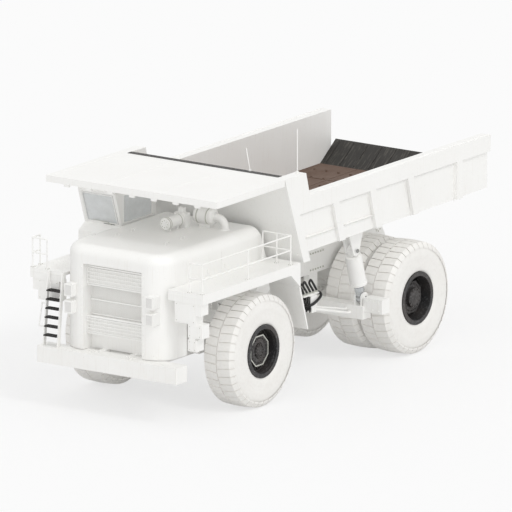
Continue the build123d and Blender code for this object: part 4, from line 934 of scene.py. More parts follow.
@dataclass
class WheelTrim(SubAssembly):
    """Studs, hub frame, lock ring and valve on one dressed rim.

    Attributes:
        node: CAD node of the rim.
        way: 1 on the left side and -1 on the right.
        steered: True for a front wheel, which shows its eight-sided hub.
        face: Outer face of the wheel disc.
        hub: Flat radius and height of the hub above the disc.
        cap: Radius and height of the cap above the hub.
        cover: Height of the front hub's eight-sided cover.
        stud_ring: Radius of the ring of studs.
        tube: Inner radius of the rim's tube.
    """

    node: str = ""
    way: float = 1.0
    steered: bool = True
    face: float = 2.66
    hub: Pair = (0.475, 0.12)
    cap: Pair = (0.215, 0.09)
    cover: float = 0.07
    stud_ring: float = 0.575
    tube: float = 0.670

    def build(self) -> None:
        """Build the trim on the outer side of the rim."""
        axle, reach, (flat, rise), (cap, cap_rise) = middle_of(self.node), self.way * self.face, self.hub, self.cap
        hub_face = self.way * (self.face + rise)
        cap_face = hub_face + self.way * cap_rise
        if self.steered:
            self.octagon("hub_cover", axle, hub_face, flat - 0.006, cap + 0.01, self.cover, "dark_rim")
            hub_face += self.way * self.cover
            self.octagon("hub_frame", axle, hub_face, flat - 0.014, flat - 0.054, 0.014, "zinc_plate")
        self.add(f"{self.node}_cap_plate", lathe_into(bmesh.new(), [
            (0.0, 0.006), (0.0, cap - 0.075), (0.012, cap - 0.085), (0.018, 0.05), (0.03, 0.03), (0.03, 0.006)],
            (cap_face, *axle), self.way, 48), "dark_rim", smooth=True)
        self.ring("cap_bolts", cap_face, axle, cap - 0.04, 12, 0.042)
        self.ring("hub_bolts", hub_face, axle, flat - (0.105 if self.steered else 0.06), 24 if self.steered else 30,
                  0.04)
        self.shapes(f"{self.node}_lock_rings", lathe_into, [
            ([(out, self.tube - drop) for out, drop in profile], (reach, *axle), self.way, 96) for profile in (
                ((0.0, 0.0), (0.0, 0.03), (0.02, 0.036), (0.05, 0.03), (0.06, 0.0)),
                ((0.24, 0.0), (0.24, 0.018), (0.27, 0.024), (0.29, 0.018), (0.29, 0.0)))], "dark_rim", smooth=True)
        stem = [(reach + self.way * out, axle[0], axle[1] + up) for out, up in ((0.0, 0.628), (0.08, 0.626),
                                                                                (0.13, 0.606))]
        self.tubes(f"{self.node}_valve", (stem, 0.011, 10), finish="zinc_plate")
        form = bmesh.new()
        path_into(form, [(0.0, 0.0, self.stud_ring), (self.way * 0.062, 0.0, self.stud_ring)], 0.017, 12)
        bolt_into(form, (self.way * 0.001, 0.0, self.stud_ring), Direction.ACROSS, self.way, 0.074)
        self.repeat(f"{self.node}_studs", form, circle(32, (reach, *axle)), "machined_steel")

    def ring(self, label: str, face: float, axle: Pair, radius: float, count: int, size: float) -> None:
        """Set a ring of bolts on a face that looks outward."""
        self.bolt(f"{self.node}_{label}", (0.0, 0.0, radius), Direction.ACROSS, self.way, size,
                  circle(count, (face, *axle)), "dark_rim")

    def octagon(self, label: str, axle: Pair, face: float, outer: float, inner: float, height: float,
                finish: str) -> None:
        """Add an eight-sided frame that stands on a face; outer and inner are its flat radii."""
        form, rings, spread = bmesh.new(), [], 1.0 / math.cos(math.pi / 8)
        for radius, lift in ((outer, 0.0), (outer - 0.004, height), (inner + 0.004, height), (inner, 0.0)):
            turns = [math.tau * (step + 0.5) / 8 for step in range(8)]
            rings.append([form.verts.new((face + self.way * lift, axle[0] + radius * spread * math.sin(turn),
                                          axle[1] + radius * spread * math.cos(turn))) for turn in turns])
        self.add(f"{self.node}_{label}", skin(form, rings, closed=True), finish)


# ---- front of the truck ----------------------------------------------------------------
@dataclass
class RadiatorFront(SubAssembly):
    """Screens over the radiator, lamps with their lenses, and the bolts of the housing.

    Attributes:
        half: Half width of the opening in the housing.
        screens: Height ranges of the two screens.
        core: Height range of the bare core between them.
        rod_pitch: Spacing of the screens' upright rods.
        lamp_x: Middle of either lamp from the truck's middle line.
        lamp_zs: Heights of the lamps' middles.
        lamp_half: Half width and half height of a lamp's lens.
    """

    half: float = 1.05
    screens: tuple[Pair, ...] = ((2.36, 2.86), (3.82, 4.37))
    core: Pair = (2.90, 3.78)
    rod_pitch: float = 0.07
    lamp_x: float = 1.45
    lamp_zs: Pair = (3.14, 3.65)
    lamp_half: Pair = (0.115, 0.155)

    def build(self) -> None:
        """Build screens, core fins, lamps and bolts."""
        low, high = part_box("grille")
        count = int(2 * (self.half - 0.05) / self.rod_pitch) + 1
        start = (-(count - 1) / 2 * self.rod_pitch, low.y + 0.038, 0.0)
        for number, (bottom, top) in enumerate(self.screens):
            self.tile(f"screen_rods_{number}", (-0.006, -0.006, bottom + 0.02), (0.006, 0.006, top - 0.02), 0.002,
                      Pattern(count, (self.rod_pitch, 0.0, 0.0), start=start))
            wide, inside, bar = self.half - 0.004, self.half - 0.05, 0.022
            self.shapes(f"screen_frame_{number}", box_into, (
                ((left, low.y + 0.01, under), (right, low.y + 0.07, over), 0.006) for left, right, under, over in (
                    (-wide, wide, bottom - bar, bottom + bar), (-wide, wide, top - bar, top + bar),
                    (-wide, -inside, bottom + bar, top - bar), (inside, wide, bottom + bar, top - bar))))
        bottom, top = self.core
        core_face = high.y - 0.074
        self.tile("core_fins", (-0.003, -0.006, bottom), (0.003, 0.012, top), 0.0,
                  Pattern(61, (0.0333, 0.0, 0.0), start=(-1.0, core_face, 0.0)))
        self.shapes("core_straps", box_into, (
            ((-self.half + 0.01, core_face - 0.03, z - 0.02), (self.half - 0.01, core_face + 0.012, z + 0.02), 0.005)
            for z in (bottom + 0.005, sum(self.core) / 2, top - 0.005)))
        self.lamps()
        self.bolts()

    def lamps(self) -> None:
        """Build a bezel and a fluted lens for each lamp."""
        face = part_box("headlamps")[0].y
        wide, tall = self.lamp_half
        frames, lenses, flutes = [], [], []
        for x, z in ((side * self.lamp_x, height) for side in BOTH for height in self.lamp_zs):
            for sign in BOTH:
                edge, side = z + sign * tall, x + sign * wide
                frames += [((x - wide - 0.018, face - 0.016, edge - 0.009),
                            (x + wide + 0.018, face + 0.004, edge + 0.009), 0.004),
                           ((side - 0.009, face - 0.0155, z - tall), (side + 0.009, face + 0.004, z + tall), 0.004)]
            lenses.append(((x - wide + 0.006, face - 0.011, z - tall + 0.006),
                           (x + wide - 0.006, face + 0.002, z + tall - 0.006), 0.004))
            flutes += [([(x + step * 0.024, face - 0.0105, z + end * (tall - 0.014)) for end in BOTH], 0.0035, 6)
                       for step in range(-4, 5)]
        self.shapes("lamp_bezels", box_into, frames)
        self.shapes("lamp_lenses", box_into, lenses, "lamp_lens")
        self.tubes("lamp_flutes", *flutes, finish="lamp_lens")

    def bolts(self) -> None:
        """Bolt the surround of the opening and the bumper, and stud the bumper's step."""
        face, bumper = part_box("radiator_housing")[0].y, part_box("front_bumper")[0].y
        self.bolt("surround_bolts", ORIGIN, Direction.ALONG, -1.0, 0.04,
                  Pattern(9, (0.0, 0.0, 0.29), start=(-1.10, face, 2.02), rows=2, row_step=(2.2, 0.0, 0.0)))
        self.bolt("bumper_bolts", ORIGIN, Direction.UP, 1.0, 0.05,
                  Pattern(4, (0.12, 0.0, 0.0), start=(-0.84, bumper + 0.30, 1.86), rows=2, row_step=(1.32, 0.0, 0.0)))
        self.tile("bumper_step_studs", (-0.035, -0.011, 0.0), (0.035, 0.011, 0.004), 0.0015,
                  Pattern(46, (0.106, 0.0, 0.0), start=(-2.39, bumper + 0.09, 1.86), rows=4,
                          row_step=(0.0, 0.045, 0.0)))


@dataclass
class Decks(SubAssembly):
    """Tread studs on the decks, feet and sleeves of the rails, grips on the ladder, and the lockers' doors.

    Attributes:
        fields: Label of each field of tread studs, with its lowest and highest X and Y.
        pitch: Spacing of the studs.
        posts: Feet of the rail posts as X and distance behind the bumper.
        top: Height of the deck.
        lockers: Lowest and highest X and Z of each locker door.
        tread: Rise from one ladder tread to the next, and their number.
    """

    fields: tuple[tuple[str, Pair, Pair], ...] = (("left", (1.95, 2.98), (-7.16, -2.86)),
                                                  ("right", (-2.98, -1.95), (-7.16, -5.32)))
    pitch: float = 0.095
    posts: tuple[Pair, ...] = ((2.60, 0.55), (3.05, 0.55), (3.05, 2.87), (3.05, 5.06), (2.55, 5.06), (2.05, 5.06),
                               (-2.53, 0.55), (-3.05, 0.55), (-3.05, 0.93))
    top: float = 4.04
    lockers: tuple[tuple[float, float, float, float], ...] = (
        (2.13, 2.78, 3.16, 3.69), (-2.78, -2.13, 3.16, 3.69), (2.60, 3.0, 2.75, 3.06), (2.59, 2.82, 2.33, 2.60))
    tread: tuple[float, int] = (0.265, 6)

    def build(self) -> None:
        """Build studs, feet, rail sleeves, ladder studs and deck seams."""
        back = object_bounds()[0][1]
        for label, (left, right), (front, rear) in self.fields:
            across, along = int((right - left) / self.pitch), int((rear - front) / self.pitch)
            for number, turn in enumerate((math.radians(45), math.radians(-45))):
                shift = number * self.pitch / 2
                self.repeat(f"deck_studs_{label}_{number}", self.stud(turn),
                            Pattern(across, (self.pitch, 0.0, 0.0), start=(left + shift, front + shift, self.top),
                                    rows=along, row_step=(0.0, self.pitch, 0.0)))
        feet, bolts, sleeves = bmesh.new(), bmesh.new(), bmesh.new()
        for x, y in ((x, back + station) for x, station in self.posts):
            inner, outer = sorted((x - math.copysign(0.07, x), x + math.copysign(0.048, x)))
            box_into(feet, (inner, y - 0.06, self.top), (outer, y + 0.06, self.top + 0.014), 0.003)
            path_into(feet, [(x, y, self.top + 0.012), (x, y, self.top + 0.05)], [0.036, 0.025], 20)
            for seat in ((dx, y + dy, self.top + 0.014) for dx in (inner + 0.022, outer - 0.022)
                         for dy in (-0.04, 0.04)):
                bolt_into(bolts, seat, Direction.UP, 1.0, 0.026)
            for height in (0.45, 0.9):
                path_into(sleeves, [(x, y, self.top + height - 0.045), (x, y, self.top + height - 0.026)],
                          [0.0245, 0.0275], 18)
        self.add("rail_feet", feet)
        self.add("rail_foot_bolts", bolts, "zinc_plate")
        self.add("rail_sleeves", sleeves, smooth=True)
        self.ladder()
        self.seams(back)

    @staticmethod
    def stud(turn: float) -> Form:
        """Make one tear-shaped tread stud, turned about the vertical."""
        form = bmesh.new()
        return skin(form, [[form.verts.new((size * (x * math.cos(turn) - y * math.sin(turn)),
                                            size * (x * math.sin(turn) + y * math.cos(turn)), height))
                            for x, y in ((-0.03, 0.0), (0.0, -0.009), (0.03, 0.0), (0.0, 0.009))]
                           for size, height in ((1.0, 0.0), (0.6, 0.004))])

    def ladder(self) -> None:
        """Punch raised grip rings into the ladder's treads."""
        low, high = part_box("ladder_treads")
        rise, count = self.tread
        run = (high.y - low.y - 0.23) / (count - 1)
        lip = [(0.0, 0.017), (0.006, 0.013), (0.006, 0.009), (0.0, 0.007)]
        for number in range(count):
            ring = turn_into(bmesh.new(), lip, ORIGIN, Direction.UP.value, Direction.ACROSS.value,
                             Direction.ALONG.value, 10)
            start = (low.x + 0.04, low.y + 0.03 + number * run, high.z - (count - 1 - number) * rise)
            self.repeat(f"ladder_grip_rings_{number}", ring,
                        Pattern(9, (0.0487, 0.0, 0.0), start=start, rows=5, row_step=(0.0, 0.042, 0.0)),
                        "black_steel")

    def seams(self, back: float) -> None:
        """Lay the weld that joins each deck's skirt to its plate and fit the lockers' doors."""
        self.shapes("deck_front_welds", weld_into, (
            [(side * x, back + 0.497, self.top - 0.10) for x in (1.9, 3.06)] for side in BOTH), smooth=True)
        doors, screws = bmesh.new(), bmesh.new()
        for left, right, bottom, top in self.lockers:
            box_into(doors, (left, back + 0.510, bottom), (right, back + 0.522, top), 0.004)
            path_into(doors, [(left + 0.03, back + y, (bottom + top) / 2 + z) for y, z in
                              ((0.508, -0.05), (0.496, -0.03), (0.496, 0.03), (0.508, 0.05))], 0.006, 8)
            for x, z in ((x, z) for x in (left + 0.02, right - 0.02) for z in (bottom + 0.02, top - 0.02)):
                bolt_into(screws, (x, back + 0.510, z), Direction.ALONG, -1.0, 0.02)
        self.add("locker_doors", doors)
        self.add("locker_screws", screws, "zinc_plate")


# ---- cab -------------------------------------------------------------------------------
@dataclass
class Cab(SubAssembly):
    """Seals, wiper, door gear, roof ventilator, dash and the padded driver's seat.

    Attributes:
        sill: Foot of the windscreen as distance behind the bumper and height.
        brow: Head of the windscreen.
        span: Lowest and highest X of the cab's glass.
        seat_x: Middle of the seat.
        cushion: Lowest and highest Y and Z of the seat cushion.
        seat_half: Half width of the seat.
        backrest: Y and Z of the backrest's outline.
        swell: Furthest that the cloth may move out.
        voxel: Size of the foam's faces.
        pressure: Pressure inside the cloth.
        frames: Number of frames for which the cloth swells.
        wall: How far the right wall's face stands in from the shell's furthest point.
    """

    sill: Pair = (2.99, 4.97)
    brow: Pair = (2.63, 6.04)
    span: Pair = (-2.84, -1.62)
    seat_x: float = -2.23
    cushion: tuple[Pair, Pair] = ((-4.07, -3.66), (4.436, 4.585))
    seat_half: float = 0.252
    backrest: tuple[Pair, ...] = ((-3.655, 4.60), (-3.535, 5.28), (-3.42, 5.275), (-3.53, 4.60))
    swell: float = 0.012
    voxel: float = 0.009
    pressure: float = 4.0
    frames: int = 20
    wall: float = 0.054

    def build(self) -> None:
        """Build the outside of the cab, then its inside."""
        self.windscreen()
        self.door()
        self.roof()
        self.dash()
        self.seat()

    def slope(self, share: float, out: float) -> Pair:
        """Y and Z of a point a share of the way up the windscreen and a distance out of it."""
        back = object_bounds()[0][1]
        run, rise = self.brow[0] - self.sill[0], self.brow[1] - self.sill[1]
        length = math.hypot(run, rise)
        return (back + self.sill[0] + share * run - out * rise / length,
                self.sill[1] + share * rise + out * run / length)

    def windscreen(self) -> None:
        """Run a seal round the windscreen and park a wiper on it."""
        left, right = self.span[0] + 0.07, self.span[1] - 0.07
        corners = [(x, *self.slope(share, 0.006)) for x, share in ((left, 0.07), (right, 0.07), (right, 0.91),
                                                                   (left, 0.91))]
        self.add("windscreen_seal", loop_into(bmesh.new(), corners, 0.012), smooth=True)
        spindle, arm, blade = ([(self.seat_x + x, *self.slope(share, out)) for x, share, out in run] for run in (
            ((0.30, 0.03, -0.01), (0.30, 0.03, 0.02)),
            ((0.30, 0.03, 0.02), (0.2, 0.10, 0.035), (-0.04, 0.1, 0.036)),
            ((-0.32, 0.115, 0.022), (0.24, 0.085, 0.022))))
        self.tubes("windscreen_wiper", (spindle, 0.022, 14), (arm, [0.012, 0.009, 0.006], 10), (blade, 0.0075, 8),
                   finish="zinc_plate")

    def door(self) -> None:
        """Fit the door's seal, pull handle, lock and the grab rail beside it."""
        low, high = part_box("cab_door")
        pane_low, pane_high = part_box("door_glass")
        face, inset, handle_y = pane_low.x - 0.012, 0.02, high.y - 0.17
        (front, rear), (foot, head) = ((getattr(pane_low, axis) + inset, getattr(pane_high, axis) - inset)
                                       for axis in "yz")
        corners = [(face, front, foot), (face, rear, foot), (face, rear, head), (face, front, head)]
        self.add("door_window_seal", loop_into(bmesh.new(), corners, 0.011), "hose_rubber", "cab_door", smooth=True)
        grip = [(face - out, handle_y, z) for out, z in ((0.0, 4.70), (0.035, 4.715), (0.035, 4.80), (0.0, 4.815))]
        self.tubes("door_grip", (grip, 0.010, 10), finish="black_steel", body="cab_door")
        self.tubes("door_lock", ([(face, handle_y, 4.64), (face - 0.012, handle_y, 4.64)], 0.018, 18),
                   finish="zinc_plate", body="cab_door")
        self.bolt("door_hinge_bolts", ORIGIN, Direction.ACROSS, -1.0, 0.024,
                  Pattern(2, (0.0, 0.0, 0.05), start=(face + 0.002, low.y + 0.06, 4.395), rows=2,
                          row_step=(0.0, 0.0, 1.18)), "zinc_plate", "cab_door")
        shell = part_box("cab_shell")[0].x + self.wall
        rail = [(shell - out, high.y + 0.16, z) for out, z in ((0.0, 4.42), (0.05, 4.45), (0.05, 5.18), (0.0, 5.21))]
        self.tubes("cab_grab_rail", (rail, 0.014, 12))

    def roof(self) -> None:
        """Fit the gutter and the roof's ventilator."""
        low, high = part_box("cab_shell")
        left, right = low.x + self.wall, high.x
        middle = (left + right) / 2
        form = bmesh.new()
        path_into(form, [(left - 0.008, low.y + 0.05, high.z - 0.05), (left - 0.008, high.y - 0.03, high.z - 0.05)],
                  0.012, 8)
        box_into(form, (middle - 0.26, high.y - 0.82, high.z - 0.004), (middle + 0.26, high.y - 0.30, high.z + 0.12),
                 0.03)
        self.add("roof_ventilator", form)
        self.tile("ventilator_louvres", (-0.20, -0.004, -0.006), (0.20, 0.004, 0.006), 0.001,
                  Pattern(5, (0.0, 0.0, 0.02), start=(middle, high.y - 0.822, high.z + 0.02)), "cab_plastic")

    def dash(self) -> None:
        """Put gauges, switches and pedals on the console."""
        low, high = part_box("driver_console")
        y, z = low.y + 0.33, high.z - 0.10
        places = [self.seat_x - 0.21 + 0.14 * step for step in range(4)]
        self.tubes("dash_gauges", *(([(x, y, z), (x, y + 0.012, z + 0.010)], [0.055, 0.052], 24) for x in places),
                   finish="black_steel")
        self.tile("dash_switches", (-0.011, -0.008, -0.006), (0.011, 0.008, 0.012), 0.003,
                  Pattern(10, (0.042, 0.0, 0.0), start=(self.seat_x + 0.05, low.y + 0.24, high.z - 0.065), rows=2,
                          row_step=(0.0, 0.035, -0.004)), "cab_plastic")
        self.shapes("pedals", box_into, (
            ((x - 0.045, high.y - 0.60, 4.20), (x + 0.045, high.y - 0.575, 4.34), 0.008)
            for x in (self.seat_x - 0.13, self.seat_x + 0.10)), "black_steel")

    def seat(self) -> None:
        """Build the seat's base cushion and backrest as cloth swollen over foam, with piping."""
        (front, rear), (under, top) = self.cushion
        left, right = self.seat_x - self.seat_half, self.seat_x + self.seat_half
        (foot_y, foot_z), lean = self.backrest[0], 0.176
        base = self.inflate("seat_cushion", box_into(bmesh.new(), (left, front, under), (right, rear, top), 0.035))
        for vertex in base.data.vertices:
            if vertex.co.z > top - 0.03:
                for channel in (self.seat_x - 0.15, self.seat_x + 0.15):
                    vertex.co.z -= 0.012 * math.exp(-((vertex.co.x - channel) / 0.012) ** 2)
        form = plate_into(bmesh.new(), [(left, y, z) for y, z in self.backrest], (2 * self.seat_half, 0.0, 0.0))
        bmesh.ops.recalc_face_normals(form, faces=form.faces)
        bmesh.ops.bevel(form, geom=list(form.edges), offset=0.035, segments=3, affect="EDGES", profile=0.6)
        rest = self.inflate("seat_backrest", form)
        for vertex in rest.data.vertices:
            if vertex.co.y < foot_y + (vertex.co.z - foot_z) * lean + 0.03:
                for channel in (4.80, 4.97, 5.13):
                    vertex.co.y += 0.011 * math.exp(-((vertex.co.z - channel) / 0.011) ** 2)
        runs = [([(x, front + 0.012, top - 0.012) for x in (left + 0.03, right - 0.03)], 0.006, 8)]
        for x in (self.seat_x + side * (self.seat_half - 0.006) for side in BOTH):
            runs += [([(x, front + 0.03, top - 0.014), (x, rear - 0.02, top - 0.014)], 0.006, 8),
                     ([(x, -3.632, 4.66), (x, -3.526, 5.24)], 0.006, 8)]
        self.tubes("seat_piping", *runs, finish="seat_cloth")
        belt = [(self.seat_x + x, y, z) for x, y, z in ((0.24, -3.60, 4.62), (0.10, -3.70, 4.64),
                                                        (-0.16, -3.72, 4.635), (-0.24, -3.60, 4.62))]
        self.tubes("lap_belt", (belt, 0.018, 6), finish="black_steel")

    def inflate(self, name: str, form: Form) -> Piece:
        """Swell a closed shape as cloth over foam.

        Args:
            name: Name of the finished pad.
            form: Closed shape, slightly smaller than the pad.

        Returns:
            The dressed pad on its body, standing for the plain seat.
        """
        shape = mesh_object(f"{name}_foam", form)
        remesh = shape.modifiers.new("even_faces", "REMESH")
        remesh.mode, remesh.voxel_size = "VOXEL", self.voxel
        pad = self.applied(name, shape)
        before = [vertex.co.copy() for vertex in pad.data.vertices]
        cloth = pad.modifiers.new("pressed_cloth", "CLOTH")
        cloth.settings.use_pressure = True
        cloth.settings.uniform_pressure_force = self.pressure
        cloth.settings.effector_weights.gravity = 0.0
        scene = bpy.context.scene
        for number in range(1, self.frames + 1):
            scene.frame_set(number)
        pad = self.applied(name, pad)
        scene.frame_set(1)
        for vertex, rest in zip(pad.data.vertices, before):
            move = vertex.co - rest
            if move.length > self.swell:
                vertex.co = rest + move * (self.swell / move.length)
        pad.modifiers.new("soft_skin", "SUBSURF").levels = 1
        pad = self.applied(name, pad)
        for polygon in pad.data.polygons:
            polygon.use_smooth = True
        self.fit(pad, "seat_cloth", replaces=("driver_seat",))
        return pad

    @staticmethod
    def applied(name: str, source: Piece) -> Piece:
        """Freeze an object's modifiers into a new plain mesh and drop the old object."""
        data = frozen(source)
        bpy.data.objects.remove(source)
        data.name = name
        return link(name, data)


# ---- gear on the hood ------------------------------------------------------------------
@dataclass
class HoodGear(SubAssembly):
    """Bands, hoops and louvres of the exhaust and air cleaner, and the hood's loops, seams and latches.

    Attributes:
        muffler: Middle of the muffler as Y and Z.
        muffler_radius: Radius of its drum.
        canister: Middle of the canister's front end.
        canister_radius: Radius of its drum.
        canister_length: Length of its drum.
        hood_top: Height of the hood's flat top.
        hood_side: Distance of the hood's left side from the middle line.
    """

    muffler: Pair = (-3.545, 5.35)
    muffler_radius: float = 0.24
    canister: Point = (-0.04, -4.785, 5.26)
    canister_radius: float = 0.185
    canister_length: float = 0.71
    hood_top: float = 5.02
    hood_side: float = 1.863

    def build(self) -> None:
        """Build the bands, hoops, louvres and the hood's loops, seams and latches."""
        low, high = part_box("exhaust_pipe")
        form, (y, z), radius = bmesh.new(), self.muffler, self.muffler_radius
        for x in (low.x + 0.16, low.x + 0.50):
            lathe_into(form, [(-0.02, radius - 0.002), (-0.02, radius + 0.005), (0.02, radius + 0.005),
                              (0.02, radius - 0.002)], (x, y, z), 1.0, 64)
            box_into(form, (x - 0.016, y - 0.05, z + radius), (x + 0.016, y, z + radius + 0.028), 0.004)
        self.add("muffler_bands", form, "zinc_plate", smooth=True)
        self.tubes("stack_collar", ([(high.x - 0.115, y, self.hood_top + up) for up in (0.002, 0.03)],
                                    [0.165, 0.15], 32))
        x, y, z = self.canister
        self.shapes("canister_hoops", strap_into, (
            ((x, y + along, z), self.canister_radius, 0.005, 0.014)
            for along in (self.canister_length * 0.12, self.canister_length * 0.86, 0.012)), "zinc_plate", smooth=True)
        self.bolt("canister_cover_nuts", (0.0, 0.0, 0.105), Direction.ALONG, -1.0, 0.022,
                  Pattern(8, turn=(0.0, math.tau / 8, 0.0), start=(x, y - 0.04, z)), "zinc_plate")
        self.tile("intake_louvres", (-0.16, -0.006, -0.010), (0.16, 0.004, 0.010), 0.002,
                  Pattern(7, (0.0, 0.0, 0.042), start=(-0.045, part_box("air_intake")[1].y - 0.262, 5.10)))
        loops = [([(side * 0.9, y + along, self.hood_top + up) for along, up in
                   ((0.0, -0.002), (0.0, 0.06), (0.16, 0.06), (0.16, -0.002))], 0.011, 10)
                 for side in BOTH for y in (-6.1, -5.3)]
        self.tubes("hood_lifting_loops", *loops)
        self.shapes("hood_side_seams", weld_into, (
            ((self.hood_side, y, 4.06), (self.hood_side, y, 4.66), 0.006) for y in (-6.384, -4.6)), smooth=True)
        self.tile("hood_latches", (0.0, -0.02, -0.06), (0.016, 0.02, 0.06), 0.005,
                  Pattern(3, (0.0, 0.88, 0.0), start=(self.hood_side - 0.003, -6.2, 4.2)))


# ---- dump body -------------------------------------------------------------------------
@dataclass
class DumpBody(SubAssembly):
    """Edge strip, welds, floor plates, wear bars and hinge caps of the body.

    Attributes:
        inner: Half width inside the body.
        skin: Distance of the side's outer skin from the middle line.
        floor: Y and Z of the floor's front and of the foot of the tail.
        ribs: Y of each rib's top and foot, at its front face.
        rib_width: Width of a rib.
        rib_face: Distance of the ribs' outer faces from the middle line.
        rail_z: Underside of the side rail.
        hinge: Y and Z of the hinge pin.
    """

    body: str = "dump_body"
    inner: float = 2.71
    skin: float = 2.95
    floor: tuple[Pair, Pair] = ((-2.255, 4.34), (7.015, 4.44))
    ribs: tuple[Pair, ...] = ((-0.595, -0.245), (1.315, 1.65), (3.275, 3.59), (5.845, 5.845))
    rib_width: float = 0.30
    rib_face: float = 3.066
    rail_z: float = 5.49
    hinge: Pair = (5.115, 3.30)

    def build(self) -> None:
        """Build the canopy's strip, then the body's outside and its inside."""
        self.canopy()
        (front, _), (rear, _) = self.floor
        self.sheet("floor_nosing", [(front - 0.001, 4.345), (front - 0.009, 4.342), (front + 0.024, 4.246),
                                    (front + 0.032, 4.249)])
        front, rear = front + 0.034, rear - 0.002
        self.sheet("floor_underside", [(y, self.at_floor(y) - drop) for y, drop in
                                       ((front, 0.0905), (rear, 0.0905), (rear, 0.0935), (front, 0.0935))])
        self.side_welds()
        self.floor_plates()
        self.hinge_caps()
        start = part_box("headboard")[0].y + 0.6
        self.tubes("side_rail_beads", *(([(side * 2.985, y, 5.975) for y in (start, 7.59)], 0.028, 12)
                                        for side in BOTH))

    def canopy(self) -> None:
        """Trim the canopy with its strip, rivets, seams and lip tabs."""
        low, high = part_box("canopy")
        self.add("canopy_edge_strip", box_into(
            bmesh.new(), (-self.inner, high.y + 0.16, high.z - 0.004), (self.inner, high.y + 0.36, high.z + 0.012),
            0.004), "edge_trim")
        self.tile("canopy_strip_rivets", (-0.018, -0.018, 0.0), (0.018, 0.018, 0.006), 0.002,
                  Pattern(37, (0.148, 0.0, 0.0), start=(-2.664, high.y + 0.26, high.z + 0.012)), "edge_trim")
        self.shapes("canopy_seams", weld_into, [
            ((side * self.rib_face, high.y - 0.02, high.z - 0.19), (side * self.rib_face, high.y - 0.02, high.z - 0.02))
            for side in BOTH] + [((x, low.y + 0.03, high.z), (x, high.y - 0.02, high.z), 0.006)
                                 for x in (-2.88, -0.96, 0.96, 2.88)], smooth=True)
        self.tile("canopy_lip_tabs", (-0.09, -0.04, -0.075), (0.09, 0.04, 0.0), 0.008,
                  Pattern(7, (0.78, 0.0, 0.0), start=(-2.34, low.y + 0.05, low.z + 0.001)))

    def sheet(self, name: str, section: list[Pair]) -> None:
        """Add a sheet as wide as the body's inside, with a section of Y and Z."""
        self.add(name, plate_into(bmesh.new(), [(-self.inner, y, z) for y, z in section], (2 * self.inner, 0.0, 0.0)))

    def side_welds(self) -> None:
        """Lay fillet welds down both edges of every rib and under the side rail, and plug the ribs' drains."""
        welds = []
        for x in (side * (self.skin + 0.004) for side in BOTH):
            welds += [((x, top + edge, self.rail_z - 0.22), (x, foot + edge, 4.27), 0.012)
                      for top, foot in self.ribs for edge in (0.0, self.rib_width)]
            welds.append(((x, -2.33, 4.245), (x, 5.8, 4.335), 0.010))
        self.shapes("rib_welds", weld_into, welds, smooth=True)
        self.tubes("rib_drain_plugs", *(
            ([(side * (self.rib_face + out), (top + foot) / 2 + self.rib_width / 2, 4.87) for out in (0.0, 0.010)],
             [0.05, 0.044], 20) for side in BOTH for top, foot in self.ribs))

    def at_floor(self, y: float) -> float:
        """Height of the inner floor at a Y."""
        (front, low), (rear, high) = self.floor
        return low + (y - front) / (rear - front) * (high - low)

    def floor_plates(self) -> None:
        """Lay wear bars across the floor and tail and plug welds between them."""
        (front, front_z), (rear, rear_z) = self.floor
        form, count, bar = bmesh.new(), 5, self.inner - 0.02
        for step in range(1, count + 1):
            y = front + 0.2 + (rear - front - 0.3) * step / (count + 1)
            z = self.at_floor(y)
            box_into(form, (-bar, y - 0.04, z - 0.004), (bar, y + 0.04, z + 0.012), 0.004)
        for x in (-1.36, 0.0, 1.36):
            plate_into(form, [(x - 0.03, y, self.at_floor(y) + up) for y, up in
                              ((front + 0.1, -0.003), (rear - 0.05, -0.003), (rear - 0.05, 0.010),
                               (front + 0.1, 0.010))], (0.06, 0.0, 0.0))
        self.add("floor_wear_bars", form, "rusty_floor")
        slope = (rear_z - front_z) / (rear - front)
        self.bolt("floor_plug_bolts", ORIGIN, Direction.UP, 1.0, 0.075,
                  Pattern(12, (0.44, 0.0, 0.0), start=(-2.42, front + 0.55, self.at_floor(front + 0.55) - 0.02),
                          rows=11, row_step=(0.0, 0.8, 0.8 * slope), jitter=0.12), "rusty_floor")
        low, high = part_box("tail_lip")
        rise = (high.z - rear_z) / (high.y - low.y)
        foot, tip = low.y + 0.06, high.y - 0.05
        foot_z, tip_z = rear_z + 0.06 * rise, high.z - 0.05 * rise
        self.shapes("tail_wear_bars", plate_into, (
            ([(x, foot, foot_z - 0.004), (x, tip, tip_z - 0.004), (x, tip, tip_z + 0.012), (x, foot, foot_z + 0.014)],
             (0.07, 0.0, 0.0)) for x in (-2.55 + 0.51 * step - 0.035 for step in range(11))), "dark_plate")

    def hinge_caps(self) -> None:
        """Close both ends of each hinge pin with a bolted cap."""
        cap = [(0.0, 0.004), (0.0, 0.125), (0.02, 0.125), (0.026, 0.118), (0.026, 0.004)]
        for label, side in reversed(SIDES):
            face = side * 0.70
            self.add(f"hinge_cap_{label}", lathe_into(bmesh.new(), cap, (face, *self.hinge), side, 40),
                     body="chassis", smooth=True)
            self.bolt(f"hinge_cap_bolts_{label}", (0.0, 0.0, 0.095), Direction.ACROSS, side, 0.034,
                      circle(6, (face + side * 0.026, *self.hinge)), "zinc_plate", "chassis")


